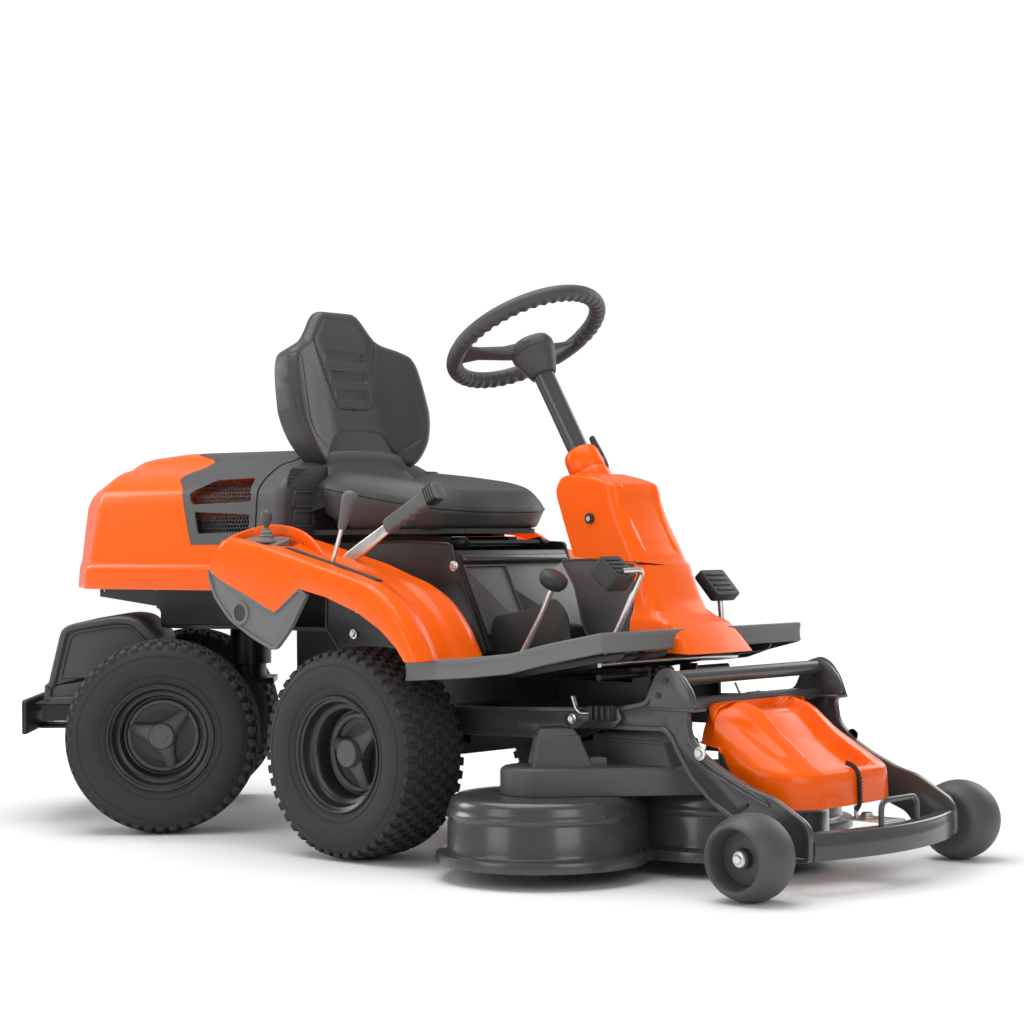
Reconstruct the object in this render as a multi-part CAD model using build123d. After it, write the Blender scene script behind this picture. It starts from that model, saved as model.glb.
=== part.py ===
"""Articulated ride-on lawn mower with a front cutting deck.

Modelling frame: millimetres, +Z up, -Y ahead of the machine, +X on the operator's left,
origin on the ground below the middle of the front axle.  Before export every piece is
shifted so that the row origin is the middle of the footprint, on the ground.
The rear section is modelled straight and then turned about its steering pivot.
"""
from build123d import *
import os
from math import atan2, degrees, hypot

# ---------------------------------------------------------------- driving dimensions
WHEELBASE = 887.0
FRONT_TRACK = 715.0
REAR_TRACK = 625.0
PIVOT_Y = 726.0
REAR_TURN = 44.0
RUNNING = 0.06            # radial clearance of shafts in their bores
GAP = 1.0                 # gap between covers that meet
SHEET = 3.0               # pressed steel sheet
COVER = 4.0               # moulded cover wall

TYRE_DIAMETER = 407.0
TYRE_WIDTH = 170.0
TYRE_WALL = 11.0
RIM_SEAT_DIAMETER = 203.0
RIM_WIDTH = 142.0
RIM_FLANGE = 12.5
RIM_WALL = 3.5
AXLE_DIAMETER = 25.0
HUB_DIAMETER = 62.0
CAP_DIAMETER = 160.0

RAIL_X = 92.0             # middle of each chassis rail
RAIL_WIDTH = 8.0
RAIL_BOTTOM = 230.0
RAIL_TOP = 340.0
RAIL_FRONT = -520.0
RAIL_REAR = 470.0
TAIL_Z = 422.0            # underside of the engine plate
TAIL_RADIUS = 200.0       # round rear end of the engine plate, about the pivot
TAIL_WIDTH = 300.0
KINGPIN_DIAMETER = 40.0
KINGPIN_HOUSING = 92.0

FOOT_WIDTH = 800.0
FOOT_NOSE_WIDTH = 624.0
FOOT_FRONT = -562.0
FOOT_REAR = -150.0
FOOT_SKIRT = 36.0
FOOT_TOP = [(-150.0, 381.0), (-300.0, 394.0), (-390.0, 404.0), (-460.0, 423.0), (-562.0, 444.0)]

CONSOLE_WIDTH = 150.0
CONSOLE_FOOT_WIDTH = 200.0
COLUMN_TILT = 30.3
COLUMN_FOOT = (0.0, -276.0, 737.0)
COLUMN_LENGTH = 262.0
COLUMN_DIAMETER = 34.0
COLLAR_DIAMETER = 52.0
COLLAR_LENGTH = 56.0
WHEEL_RADIUS = 156.0
WHEEL_GRIP_RADIUS = 16.5
WHEEL_DISTANCE = 326.0    # along the column, from its foot to the rim's plane

FENDER_OUTER = 440.0
FENDER_INNER = 250.0
SLOT_WIDTH = 16.0

SEAT_WIDTH = 412.0
SEAT_BACK_WIDTH = 424.0
SEAT_HINGE_Y = -46.0
SEAT_HINGE_Z = 606.0
SEAT_FRONT = -58.0
SEAT_REAR = 338.0
SEAT_PAN_Z = 634.0
SEAT_RECLINE = 13.6
SEAT_BACK_DEPTH = 66.0
CUSHION_CREST_Z = 762.0

HOOD_HALF_WIDTH = 265.0
HOOD_TAIL_HALF_WIDTH = 150.0
HOOD_FRONT = 350.0
HOOD_SPLIT = 419.0          # the tilting hood starts behind this plane
HOOD_REAR = 1155.0
HOOD_BOTTOM = 508.0
HOOD_TOP = 812.0
HOOD_HINGE_Y = 1128.0
HOOD_HINGE_Z = 500.0

BOX_HALF_WIDTH = 190.0
HITCH_THICKNESS = 6.0
HITCH_HOLE_DIAMETER = 19.0
HITCH_BOLT_DIAMETER = 11.0
HITCH_BOLT_SPACING = 180.0
HITCH_Y = 1198.0

ARM_X = 233.0             # middle of each deck arm
ARM_THICKNESS = 14.0
LIFT_PIVOT_Y = -90.0
LIFT_PIVOT_Z = 262.0
LIFT_PIN_DIAMETER = 20.0
CROSS_TUBE_DIAMETER = 27.0
BAR_BOTTOM = 60.0
BAR_TOP = 107.0
BAR_BULGE_Y = -992.0
BAR_END_Y = -952.0

DECK_RIM_Z = 30.0
DECK_TOP_Z = 150.0
DECK_WALL = 4.0
DECK_FLANGE = 18.0
SIDE_LOBE_X = 330.0
SIDE_LOBE_Y = -432.0
SIDE_LOBE_RADIUS = 172.0
FRONT_LOBE_Y = -611.0
FRONT_LOBE_RADIUS = 182.0
BRIDGE_REACH = 140.0      # from the side spindles back to the deck's rear wall
SPINDLE_DIAMETER = 25.0
PULLEY_DIAMETER = 120.0
BELT_END_X = 118.0         # inner end of each belt cover
BELT_END_Y = -633.0
DECK_COVER_HALF = 172.0    # painted cover of the deck's front
DECK_COVER_FRONT = -888.0
DECK_COVER_FOOT = 133.0
SHAFT_START = 110.0        # lower end of the steering wheel's shaft along the column
BLADE_WIDTH = 55.0
BLADE_CLEARANCE = 10.0
BELT_COVER_TOP = 206.0
BELT_COVER_HALF_WIDTH = 84.0
TOWER_TOP = 262.0

GAUGE_X = 337.6
GAUGE_Y = -898.7
GAUGE_RADIUS = 75.0
GAUGE_WIDTH = 103.4
GAUGE_BOLT_DIAMETER = 16.0

TYRE_RADIUS = TYRE_DIAMETER / 2
AXLE_Z = TYRE_RADIUS
OUT = "parts"


# ---------------------------------------------------------------- small geometry helpers
def block(x0, x1, y0, y1, z0, z1):
    """Rectangular block between two corners."""
    middle = Pos((x0 + x1) / 2, (y0 + y1) / 2, (z0 + z1) / 2)
    return middle * Box(abs(x1 - x0), abs(y1 - y0), abs(z1 - z0))


def side_prism(points, x0, x1, radius=0.0):
    """Side outline of (y, z) points, extruded across the machine from x0 to x1."""
    face = Plane.YZ.offset(x0) * Polygon(*points, align=None)
    if radius:
        face = fillet(face.vertices(), radius)
    return extrude(face, amount=x1 - x0, dir=(1, 0, 0))


def plan_prism(points, z0, z1, radius=0.0):
    """Plan outline of (x, y) points, extruded up from z0 to z1."""
    face = Plane.XY.offset(z0) * Polygon(*points, align=None)
    if radius:
        face = fillet(face.vertices(), radius)
    return extrude(face, amount=z1 - z0, dir=(0, 0, 1))


def front_prism(points, y0, y1, radius=0.0):
    """Front outline of (x, z) points, extruded back from y0 to y1."""
    plane = Plane(origin=(0, y0, 0), x_dir=(1, 0, 0), z_dir=(0, -1, 0))
    face = plane * Polygon(*points, align=None)
    if radius:
        face = fillet(face.vertices(), radius)
    return extrude(face, amount=y1 - y0, dir=(0, 1, 0))


def rod(start, end, diameter):
    """Round bar between two points."""
    a = Vector(*start)
    b = Vector(*end)
    plane = Plane(origin=a, z_dir=(b - a))
    return extrude(plane * Circle(diameter / 2), amount=(b - a).length)


def bent_rod(points, diameter, bend):
    """Round bar swept along a bent line of straight runs."""
    path = FilletPolyline(*points, radius=bend)
    section = Plane(origin=path @ 0, z_dir=path % 0) * Circle(diameter / 2)
    return sweep(section, path=path)


def bolt_x(x0, x1, y, z, diameter, outward):
    """Bolt along X with a round head beyond its outward end (outward is +1 or -1)."""
    head = x1 if outward > 0 else x0
    shank = rod((x0, y, z), (x1, y, z), diameter)
    return shank + rod((head, y, z), (head + outward * diameter * 0.6, y, z), diameter * 1.8)


def mirrored(shape):
    """The same piece on the other side of the machine."""
    return mirror(shape, about=Plane.YZ)


def turn_rear(shape):
    """Turn a rear-section piece about the steering pivot to its rest angle."""
    return Pos(0, PIVOT_Y, 0) * Rot(0, 0, REAR_TURN) * Pos(0, -PIVOT_Y, 0) * shape


# ---------------------------------------------------------------- wheels
def place_wheel(shape, side, track, y):
    """Put a wheel piece, drawn with its outer side towards +X, on one axle end."""
    if side < 0:
        shape = mirrored(shape)
    return Pos(side * track / 2, y, AXLE_Z) * shape


def tyre():
    """Low-pressure tyre: hollow carcass with square shoulders, open at the beads."""
    w = TYRE_WIDTH / 2
    r = TYRE_RADIUS
    seat = RIM_SEAT_DIAMETER / 2
    bead = RIM_WIDTH / 2 - RIM_WALL - 0.05
    lip = seat + RIM_FLANGE + 1
    outer = [(-bead, seat), (-bead, lip), (-w + 7, seat + 26), (-w, seat + 58), (-w + 5, r - 18), (-w + 24, r - 3),
             (-20, r), (20, r), (w - 24, r - 3), (w - 5, r - 18), (w, seat + 58), (w - 7, seat + 26),
             (bead, lip), (bead, seat)]
    t = TYRE_WALL
    inner = [(-bead + t + 3, seat - 1), (-w + 7 + t, seat + 30), (-w + t, seat + 58),
             (-w + 5 + t, r - 18 - t / 2), (-w + 26 + t, r - 3 - t), (w - 26 - t, r - 3 - t),
             (w - 5 - t, r - 18 - t / 2), (w - t, seat + 58), (w - 7 - t, seat + 30),
             (bead - t - 3, seat - 1)]
    section = make_face(Polyline(*outer, close=True)) - make_face(Polyline(*inner, close=True))
    return revolve(section, axis=Axis.X)


def rim():
    """Pressed rim: bead seats, flanges and a dished disc on a tubular hub, with its plastic cap."""
    seat = RIM_SEAT_DIAMETER / 2
    w = RIM_WIDTH / 2
    well = seat - 16
    t = RIM_WALL
    barrel = [(-w, seat + RIM_FLANGE), (-w, seat - t), (-w + 24, seat - t), (-w + 30, well - t),
              (w - 30, well - t), (w - 24, seat - t), (w, seat - t), (w, seat + RIM_FLANGE),
              (w - t, seat + RIM_FLANGE), (w - t, seat), (w - 22, seat), (w - 28, well),
              (-w + 28, well), (-w + 22, seat), (-w + t, seat), (-w + t, seat + RIM_FLANGE)]
    body = revolve(make_face(Polyline(*barrel, close=True)), axis=Axis.X)
    disc = rod((8, 0, 0), (12, 0, 0), 2 * (well - t + 0.5))
    hub = rod((-48, 0, 0), (30, 0, 0), HUB_DIAMETER)
    body = body + disc + hub
    for angle in range(0, 360, 72):
        body -= Rot(angle, 0, 0) * Pos(10, 0, 62) * Rot(0, 90, 0) * Cylinder(8, 30)
    body -= rod((-60, 0, 0), (24, 0, 0), AXLE_DIAMETER + 2 * RUNNING)
    return [body, hub_cap()]


def hub_cap():
    """Three-spoked plastic cap over the hub, held in front of the disc."""
    ring = rod((36, 0, 0), (44, 0, 0), CAP_DIAMETER) - rod((30, 0, 0), (50, 0, 0), CAP_DIAMETER - 22)
    cup = rod((31, 0, 0), (58, 0, 0), 52)
    spokes = []
    for angle in (90, 210, 330):
        spoke = Pos(44, 0, 0) * Rot(angle, 0, 0) * Pos(0, 0, 44) * Box(12, 24, 62)
        spokes.append(spoke)
    return ring + cup + spokes


def gauge_wheel(side):
    """Barrel-shaped anti-scalp wheel with recessed ends and a bore for its bolt."""
    w = GAUGE_WIDTH / 2
    r = GAUGE_RADIUS
    edge = r * 0.76
    arc = Spline((-w, edge), (-w * 0.5, r - 4), (0, r), (w * 0.5, r - 4), (w, edge))
    lines = Polyline((w, edge), (w, edge - 6), (w - 34, edge - 10), (w - 34, 16), (w - 12, 16),
                     (w - 12, GAUGE_BOLT_DIAMETER / 2 + RUNNING), (-w + 4, GAUGE_BOLT_DIAMETER / 2 + RUNNING),
                     (-w + 4, 16), (-w + 20, 16), (-w + 20, edge - 10), (-w, edge - 6), (-w, edge))
    wheel = revolve(make_face([arc, lines]), axis=Axis.X)
    if side < 0:
        wheel = mirrored(wheel)
    return Pos(side * GAUGE_X, GAUGE_Y, GAUGE_RADIUS) * wheel


# ---------------------------------------------------------------- chassis
def main_frame():
    """Ladder chassis: two rails, cross members, engine plate and kingpin housing."""
    half = RAIL_WIDTH / 2
    rail = side_prism([(RAIL_FRONT, 300), (-330, RAIL_BOTTOM), (330, RAIL_BOTTOM), (RAIL_REAR, 330),
                       (RAIL_REAR, TAIL_Z), (300, TAIL_Z), (240, RAIL_TOP), (RAIL_FRONT, RAIL_TOP)],
                      RAIL_X - half, RAIL_X + half)
    frame = rail + mirrored(rail)
    inner = RAIL_X - half
    for y, low in ((-500, 300), (-250, RAIL_BOTTOM + 20), (130, RAIL_BOTTOM + 20), (420, 330)):
        frame += block(-inner, inner, y - 4, y + 4, low, RAIL_TOP + 20 if y > 300 else RAIL_TOP)
    plate = block(-TAIL_WIDTH / 2, TAIL_WIDTH / 2, 300, PIVOT_Y, TAIL_Z, TAIL_Z + 8)
    plate += rod((0, PIVOT_Y, TAIL_Z), (0, PIVOT_Y, TAIL_Z + 8), 2 * TAIL_RADIUS)
    housing = rod((0, PIVOT_Y, 338), (0, PIVOT_Y, TAIL_Z), KINGPIN_HOUSING)
    frame += plate + housing
    frame -= rod((0, PIVOT_Y, 330), (0, PIVOT_Y, TAIL_Z + 20), KINGPIN_DIAMETER + 2 * RUNNING)
    hinge_ear = side_prism([(862, TAIL_Z + 4), (896, TAIL_Z + 4), (930, 466), (HOOD_HINGE_Y + 12, HOOD_HINGE_Z - 14),
                            (HOOD_HINGE_Y + 12, HOOD_HINGE_Z + 10), (862, 500)], 96, 102)
    ears = hinge_ear + mirrored(hinge_ear)
    ears -= rod((-120, HOOD_HINGE_Y, HOOD_HINGE_Z), (120, HOOD_HINGE_Y, HOOD_HINGE_Z), 10 + 2 * RUNNING)
    lug = block(RAIL_X + half, ARM_X - ARM_THICKNESS / 2 - GAP, LIFT_PIVOT_Y - 25, LIFT_PIVOT_Y + 25,
                LIFT_PIVOT_Z - 25, LIFT_PIVOT_Z + 25)
    pin = rod((RAIL_X, LIFT_PIVOT_Y, LIFT_PIVOT_Z), (ARM_X + ARM_THICKNESS / 2 + 6, LIFT_PIVOT_Y, LIFT_PIVOT_Z),
              LIFT_PIN_DIAMETER)
    carrier = lug + pin
    return frame + ears + carrier + mirrored(carrier)


def front_axle():
    """Fixed front axle beam with turned ends that carry the wheels, and a retaining washer."""
    inner = RAIL_X + RAIL_WIDTH / 2
    reach = FRONT_TRACK / 2 + 22
    beam_end = FRONT_TRACK / 2 - 50
    half = rod((0, 0, AXLE_Z), (reach, 0, AXLE_Z), AXLE_DIAMETER)
    half += block(0, beam_end, -22, 22, AXLE_Z - 22, AXLE_Z + 22)
    half += block(inner - 30, inner - RAIL_WIDTH - 1, -30, 30, AXLE_Z, RAIL_BOTTOM + 40)
    return half + mirrored(half)


def foot_outline(shrink, drop):
    """Tapered tray of the footplate, narrowed by shrink and with its top lowered by drop."""
    w0 = FOOT_WIDTH / 2 - shrink
    w1 = FOOT_NOSE_WIDTH / 2 - shrink
    plan = [(-w0, FOOT_REAR - shrink), (-w0, -200), (-w1, FOOT_FRONT + 18), (-w1 + 18, FOOT_FRONT + shrink),
            (w1 - 18, FOOT_FRONT + shrink), (w1, FOOT_FRONT + 18), (w0, -200), (w0, FOOT_REAR - shrink)]
    side = [(y, z - drop) for y, z in FOOT_TOP]
    low = [(y, z - FOOT_SKIRT - drop) for y, z in reversed(FOOT_TOP)]
    return plan_prism(plan, 200, 600) & side_prism(side + low, -500, 500)


def footplate():
    """Moulded foot tray with a turned-down edge and slots for the pedal rods."""
    tray = foot_outline(0.0, 0.0) - foot_outline(COVER, COVER)
    for x, y0, y1 in ((-205, -545, -470), (-205, -345, -225), (205, -500, -420)):
        tray -= block(x - 15, x + 15, y0, y1, 300, 500)
    return tray - console_outline(-GAP)


def console_outline(wall):
    """Outer form of the steering console cover, made smaller by one wall thickness."""
    side = [(-250 - wall, 700 - wall), (-262 - wall, 728 - wall), (-316, 738 - wall), (-392 + wall, 712 - wall),
            (-540 + wall, 462), (-598 + wall, 418), (-598 + wall, 400), (-448, 400), (-448, 573),
            (-307 - wall, 573)]
    half = CONSOLE_WIDTH / 2 - wall
    foot = CONSOLE_FOOT_WIDTH / 2 - wall
    front = [(-half, 760), (-half - 6, 600), (-foot, 430), (-foot, 390), (foot, 390), (foot, 430),
             (half + 6, 600), (half, 760)]
    return side_prism(side, -200, 200) & front_prism(front, -700, -100)


def console_cover():
    """Console cover shell, open at its lower rear, with the column hole in its top."""
    shell = console_outline(0.0) - console_outline(COVER)
    shell -= block(-300, 300, -447, -300, 300, 572)
    hole = column_piece(rod((0, 0, -60), (0, 0, 40), COLLAR_DIAMETER + 4))
    lock_hole = rod((-120, -350, 655), (-40, -350, 655), 24)
    return shell - hole - lock_hole


def console_base():
    """Dark inner console between the footplate and the cover, with the column's foot plate."""
    side = [(-270, 566), (-340, 412), (-438, 424), (-438, 566)]
    body = side_prism(side, -72, 72)
    inner = side_prism([(-270, 560), (-345, 400), (-430, 400), (-430, 560)], -68, 68)
    body -= inner
    post = column_piece(rod((0, 0, -172), (0, 0, -8), COLLAR_DIAMETER))
    post -= column_piece(rod((0, 0, -180), (0, 0, 0), COLUMN_DIAMETER + 8))
    return body + post


FENDER_OUTSIDE = [(-226, 386), (-190, 448), (-146, 495), (-95, 527), (4, 553), (125, 582), (202, 601), (316, 620),
                  (357, 556), (165, 474), (94, 520), (16, 504), (-72, 475), (-131, 444), (-172, 412), (-193, 386)]
FENDER_INSIDE = [(-188, 448), (-144, 495), (-93, 527), (6, 553), (127, 582), (204, 601), (318, 620)]
FENDER_INSIDE_LOW = [(357, 556), (165, 468), (94, 510), (16, 494), (-72, 464), (-131, 432), (-180, 380)]


def fender_band(wall):
    """Wheel arch cover as a solid band between its inner and outer faces, smaller by one wall if given."""
    if not wall:
        return side_prism(FENDER_OUTSIDE, FENDER_INNER, FENDER_OUTER)
    top = [(y, z - wall) for y, z in FENDER_INSIDE]
    low = [(FENDER_INSIDE_LOW[0][0] - wall, FENDER_INSIDE_LOW[0][1])] + FENDER_INSIDE_LOW[1:]
    return side_prism(top + low, FENDER_INNER + wall, FENDER_OUTER - wall)


def fender(side):
    """Wheel arch cover; the right one has slots for the two operating levers."""
    shell = fender_band(0.0) - fender_band(COVER) - foot_outline(-GAP, -GAP)
    if side < 0:
        shell = mirrored(shell)
        shell -= block(-388 - SLOT_WIDTH / 2, -388 + SLOT_WIDTH / 2, -60, 150, 440, 640)
        shell -= block(-338 - SLOT_WIDTH, -338 + SLOT_WIDTH, 10, 175, 440, 640)
        shell -= block(-406, -389 + 10, 212, 276, 560, 640)
    return shell


def fender_skirts():
    """Grey lower covers behind the front wheels, one under each fender."""
    outline = [(160, 466), (345, 548), (368, 540), (296, 458), (164, 399), (110, 460), (100, 512)]
    skirt = side_prism(outline, FENDER_OUTER - 60, FENDER_OUTER - 10)
    skirt -= side_prism([(168, 462), (335, 536), (286, 462), (168, 409)], FENDER_OUTER - 70, FENDER_OUTER - 14)
    skirt -= rod((300, 215, 462), (500, 215, 462), 22)
    return [skirt, mirrored(skirt)]


def seat_pedestal():
    """Black sheet housing under the seat: two side plates, a sloping front and a deck on top."""
    side = [(-150, 384), (-62, 584), (300, 584), (300, 430), (236, 352), (-130, 352)]
    body = side_prism(side, -170, 170)
    body -= side_prism([(-138, 300), (-56, 580), (296, 580), (296, 300)], -166, 166)
    body -= block(-110, 110, -30, 320, 300, 356)
    ear = side_prism([(SEAT_HINGE_Y - 14, 584), (SEAT_HINGE_Y + 40, 584), (SEAT_HINGE_Y + 12, SEAT_HINGE_Z + 12),
                      (SEAT_HINGE_Y - 12, SEAT_HINGE_Z + 12)], 120, 126)
    ears = ear + mirrored(ear)
    ears -= rod((-140, SEAT_HINGE_Y, SEAT_HINGE_Z), (140, SEAT_HINGE_Y, SEAT_HINGE_Z), 10 + 2 * RUNNING)
    shelf = block(-(FENDER_INNER - GAP), -170, -20, 290, 560, 564)
    return body + ears + shelf + mirrored(shelf)


def control_panel():
    """Small panel on the right fender with the throttle's slot."""
    return block(-425, -352, 200, 296, 621, 631) - block(-394, -384, 214, 270, 600, 640)


def lever_posts():
    """Shelf with the pivot posts and pins of the two operating levers and the throttle."""
    post = block(-396, -170, 60, 98, 484, 490)
    for x in (-376, -326):
        post += block(x, x + 4, 66, 96, 488, LEVER_PIVOT_Z + 14)
    post += rod((-374, 78, LEVER_PIVOT_Z), (-400, 78, LEVER_PIVOT_Z), LEVER_PIN_DIAMETER)
    post += rod((-324, 84, LEVER_PIVOT_Z), (-347, 84, LEVER_PIVOT_Z), LEVER_PIN_DIAMETER)
    bracket = block(-404, -399, 232, 256, 588, 612) + rod((-402, 244, 600), (-384, 244, 600), 6)
    return [post, bracket]


def engine():
    """Single-cylinder engine: crankcase, finned cylinder head, blower housing and air cleaner."""
    parts = block(-150, 150, 560, 860, TAIL_Z + 8, 560)
    parts += rod((0, 700, 560), (0, 700, 640), 270)
    parts += rod((0, 700, 640), (0, 700, 662), 190)
    for step in range(6):
        y = 872 + 14 * step
        parts += block(-90, 90, y, y + 6, 460, 600)
    parts += block(-60, 60, 860, 950, 480, 580)
    parts += block(-180, -90, 600, 780, 575, 660)
    return parts


def muffler():
    """Silencer can with its outlet pipe beside the cylinder."""
    can = Pos(206, 800, 514) * Rot(90, 0, 0) * Cylinder(46, 190)
    return can + rod((206, 895, 514), (206, 950, 506), 26)


def fuel_tank():
    """Moulded fuel tank ahead of the engine, with its filler cap."""
    tank = block(-150, 150, 470, 548, TAIL_Z + 8, 600)
    tank = fillet(tank.edges().filter_by(Axis.Z), 18)
    return tank + rod((90, 510, 600), (90, 510, 624), 56)


def battery():
    """Starter battery under the seat, with two terminals."""
    return block(-90, 90, 110, 240, 410, 540) + [block(x - 8, x + 8, 130, 146, 540, 556) for x in (-60, 60)]


def chassis_bolts():
    """Visible screws that hold the covers: separate identical fasteners."""
    bolts = []
    for side in (-1, 1):
        for y, z in ((40, 470), (200, 470)):
            x = side * 170
            bolts.append(bolt_x(min(x, x + side * 3), max(x, x + side * 3), y, z, 8, side))
    return bolts


# ---------------------------------------------------------------- steering
def column_piece(shape):
    """Place a piece drawn along +Z onto the tilted steering column, from its foot."""
    return Pos(*COLUMN_FOOT) * Rot(-COLUMN_TILT, 0, 0) * shape


def column_collar():
    """Fixed clamp collar at the top of the console."""
    collar = rod((0, 0, 4), (0, 0, COLLAR_LENGTH), COLLAR_DIAMETER)
    collar += Pos(34, 0, 36) * Box(26, 22, 30)
    collar -= rod((0, 0, -10), (0, 0, COLLAR_LENGTH + 10), COLUMN_DIAMETER + 2 * RUNNING)
    collar -= rod((20, 0, 36), (60, 0, 36), 10 + 2 * RUNNING)
    return column_piece(collar)


def clamp_knob():
    """Wing knob on the clamp collar's screw."""
    screw = rod((24, 0, 36), (52, 0, 36), 10)
    wing = Pos(60, 0, 36) * Box(14, 12, 52)
    return column_piece(screw + wing)


def column_tube():
    """Sliding upper steering column tube with its flared head."""
    tube = rod((0, 0, -80), (0, 0, COLUMN_LENGTH), COLUMN_DIAMETER)
    bore = rod((0, 0, -90), (0, 0, COLUMN_LENGTH + 10), 22 + 2 * RUNNING)
    return column_piece(tube - bore)


def steering_wheel():
    """Rim, three spokes and the steering shaft inside the column."""
    rim_ring = Pos(0, 0, WHEEL_DISTANCE) * Torus(WHEEL_RADIUS, WHEEL_GRIP_RADIUS)
    boss = rod((0, 0, COLUMN_LENGTH + GAP), (0, 0, WHEEL_DISTANCE - 2), 64)
    shaft = rod((0, 0, SHAFT_START), (0, 0, COLUMN_LENGTH + 10), 22)
    wheel = rim_ring + boss + shaft
    for angle in (90, 205, 335):
        spoke = Pos(WHEEL_RADIUS / 2, 0, WHEEL_DISTANCE - 12) * Box(WHEEL_RADIUS, 34, 12)
        wheel += Rot(0, 0, angle) * spoke
    return column_piece(wheel)


def steering_hub():
    """Padded centre cap of the steering wheel."""
    cap = rod((0, 0, WHEEL_DISTANCE - 2), (0, 0, WHEEL_DISTANCE + 12), 76)
    return column_piece(cap)


def ignition_lock():
    """Turning barrel of the ignition switch in the console's right wall."""
    return rod((-84, -350, 655), (-50, -350, 655), 20) + block(-92, -84, -352, -348, 646, 664)


# ---------------------------------------------------------------- pedals and levers
PEDAL_PIVOT_Z = 356.0
PEDAL_PIN_DIAMETER = 12.0
LEVER_PIVOT_Z = 512.0
LEVER_PIN_DIAMETER = 12.0


def pedal_rod(x, points):
    """Bent pedal rod in one plane across X, with its pivot sleeve below the footplate."""
    y, z = points[0]
    arm = bent_rod([(x, py, pz) for py, pz in points], 12, 14)
    sleeve = rod((x - 14, y, z), (x + 14, y, z), 22)
    return arm + sleeve - rod((x - 20, y, z), (x + 20, y, z), PEDAL_PIN_DIAMETER + 2 * RUNNING)


def forward_pedal():
    """Forward drive pedal: pad on a bent rod."""
    arm = pedal_rod(-205, [(-480, PEDAL_PIVOT_Z), (-500, 430), (-520, 480), (-512, 545)])
    pad = Pos(-205, -512, 549) * Rot(-52, 0, 0) * Box(62, 10, 58)
    return arm + pad


def reverse_pedal():
    """Reverse drive pedal: round pad on a bent rod."""
    arm = pedal_rod(-205, [(-250, PEDAL_PIVOT_Z), (-275, 405), (-335, 500), (-352, 528)])
    pad = Pos(-205, -356, 534) * Rot(32, 0, 0) * Cylinder(29, 16)
    return arm + pad


def brake_pedal():
    """Parking brake pedal on the left: pad on a bent rod."""
    arm = pedal_rod(205, [(-440, PEDAL_PIVOT_Z), (-455, 420), (-462, 470), (-450, 520)])
    pad = Pos(205, -450, 522) * Rot(-40, 0, 0) * Box(86, 12, 62)
    return arm + pad


def pedal_brackets():
    """Pivot pins of the pedals, each on a plate from the chassis rail."""
    pins = []
    for x, y in ((-205, -480), (-205, -250), (205, -440)):
        side = 1 if x > 0 else -1
        inner = RAIL_X + RAIL_WIDTH / 2
        end = abs(x) + 20
        sleeve = rod((side * inner, y, PEDAL_PIVOT_Z), (side * end, y, PEDAL_PIVOT_Z),
                     PEDAL_PIN_DIAMETER)
        foot = block(side * inner, side * (inner + 6), y - 20, y + 20, RAIL_TOP - 40, PEDAL_PIVOT_Z + 12)
        pins.append(sleeve + foot)
    return pins


def lift_bar():
    """Flat bar of the lift lever, from below its pivot to inside the grip."""
    outline = [(72, 500), (96, 500), (96, 524), (88, 566), (-28, 634), (-106, 682), (-120, 660), (-36, 606),
               (72, 540)]
    return side_prism(outline, -341, -335)


def lift_lever():
    """Deck lift lever: flat steel bar from its pivot through the fender."""
    pin = rod((-350, 84, LEVER_PIVOT_Z), (-330, 84, LEVER_PIVOT_Z), LEVER_PIN_DIAMETER + 2 * RUNNING)
    return lift_bar() - pin


def lift_grip():
    """Ribbed plastic grip on the lift lever."""
    start = Vector(-338, -62, 643)
    end = Vector(-338, -184, 706)
    body = rod(tuple(start), tuple(end), 34)
    for step in range(5):
        at = start + (end - start) * (0.12 + 0.17 * step)
        tip = at + (end - start).normalized() * 6
        body += rod(tuple(at), tuple(tip), 37)
    return body - lift_bar()


def height_lever():
    """Cutting height lever: thin rod with a tapered knob."""
    stem = rod((-388, 78, 500), (-388, 10, 650), 9)
    eye = rod((-394, 78, LEVER_PIVOT_Z), (-382, 78, LEVER_PIVOT_Z), 26)
    bore = rod((-402, 78, LEVER_PIVOT_Z), (-372, 78, LEVER_PIVOT_Z), LEVER_PIN_DIAMETER + 2 * RUNNING)
    knob_plane = Plane(origin=(-388, 14, 642), z_dir=(0, -0.41, 0.912))
    knob = knob_plane * Pos(0, 0, 34) * Cone(10, 15, 68)
    return stem + eye + knob - bore


def throttle_lever():
    """Engine speed lever with a ball knob."""
    stem = rod((-389, 244, 600), (-389, 240, 662), 6)
    eye = rod((-393, 244, 600), (-385, 244, 600), 16)
    bore = rod((-396, 244, 600), (-382, 244, 600), 6 + 2 * RUNNING)
    return stem + eye + Pos(-389, 240, 668) * Sphere(13) - bore


# ---------------------------------------------------------------- seat
def seat_frame():
    """Tilting steel frame under the seat, hinged at its front edge."""
    frame = block(-140, 140, SEAT_HINGE_Y + 30, 290, 598, 606)
    ear = side_prism([(SEAT_HINGE_Y + 60, 606), (SEAT_HINGE_Y + 60, 598), (SEAT_HINGE_Y, SEAT_HINGE_Z - 11),
                      (SEAT_HINGE_Y - 11, SEAT_HINGE_Z), (SEAT_HINGE_Y, SEAT_HINGE_Z + 11)], 110, 116)
    ears = ear + mirrored(ear)
    pin = rod((-134, SEAT_HINGE_Y, SEAT_HINGE_Z), (134, SEAT_HINGE_Y, SEAT_HINGE_Z), 10)
    rails = [block(x - 14, x + 14, 20, 280, 606, 618) for x in (-100, 100)]
    stops = [block(x - 12, x + 12, 250, 290, 584.5, 598) for x in (-120, 120)]
    return frame + ears + pin + rails + stops


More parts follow.
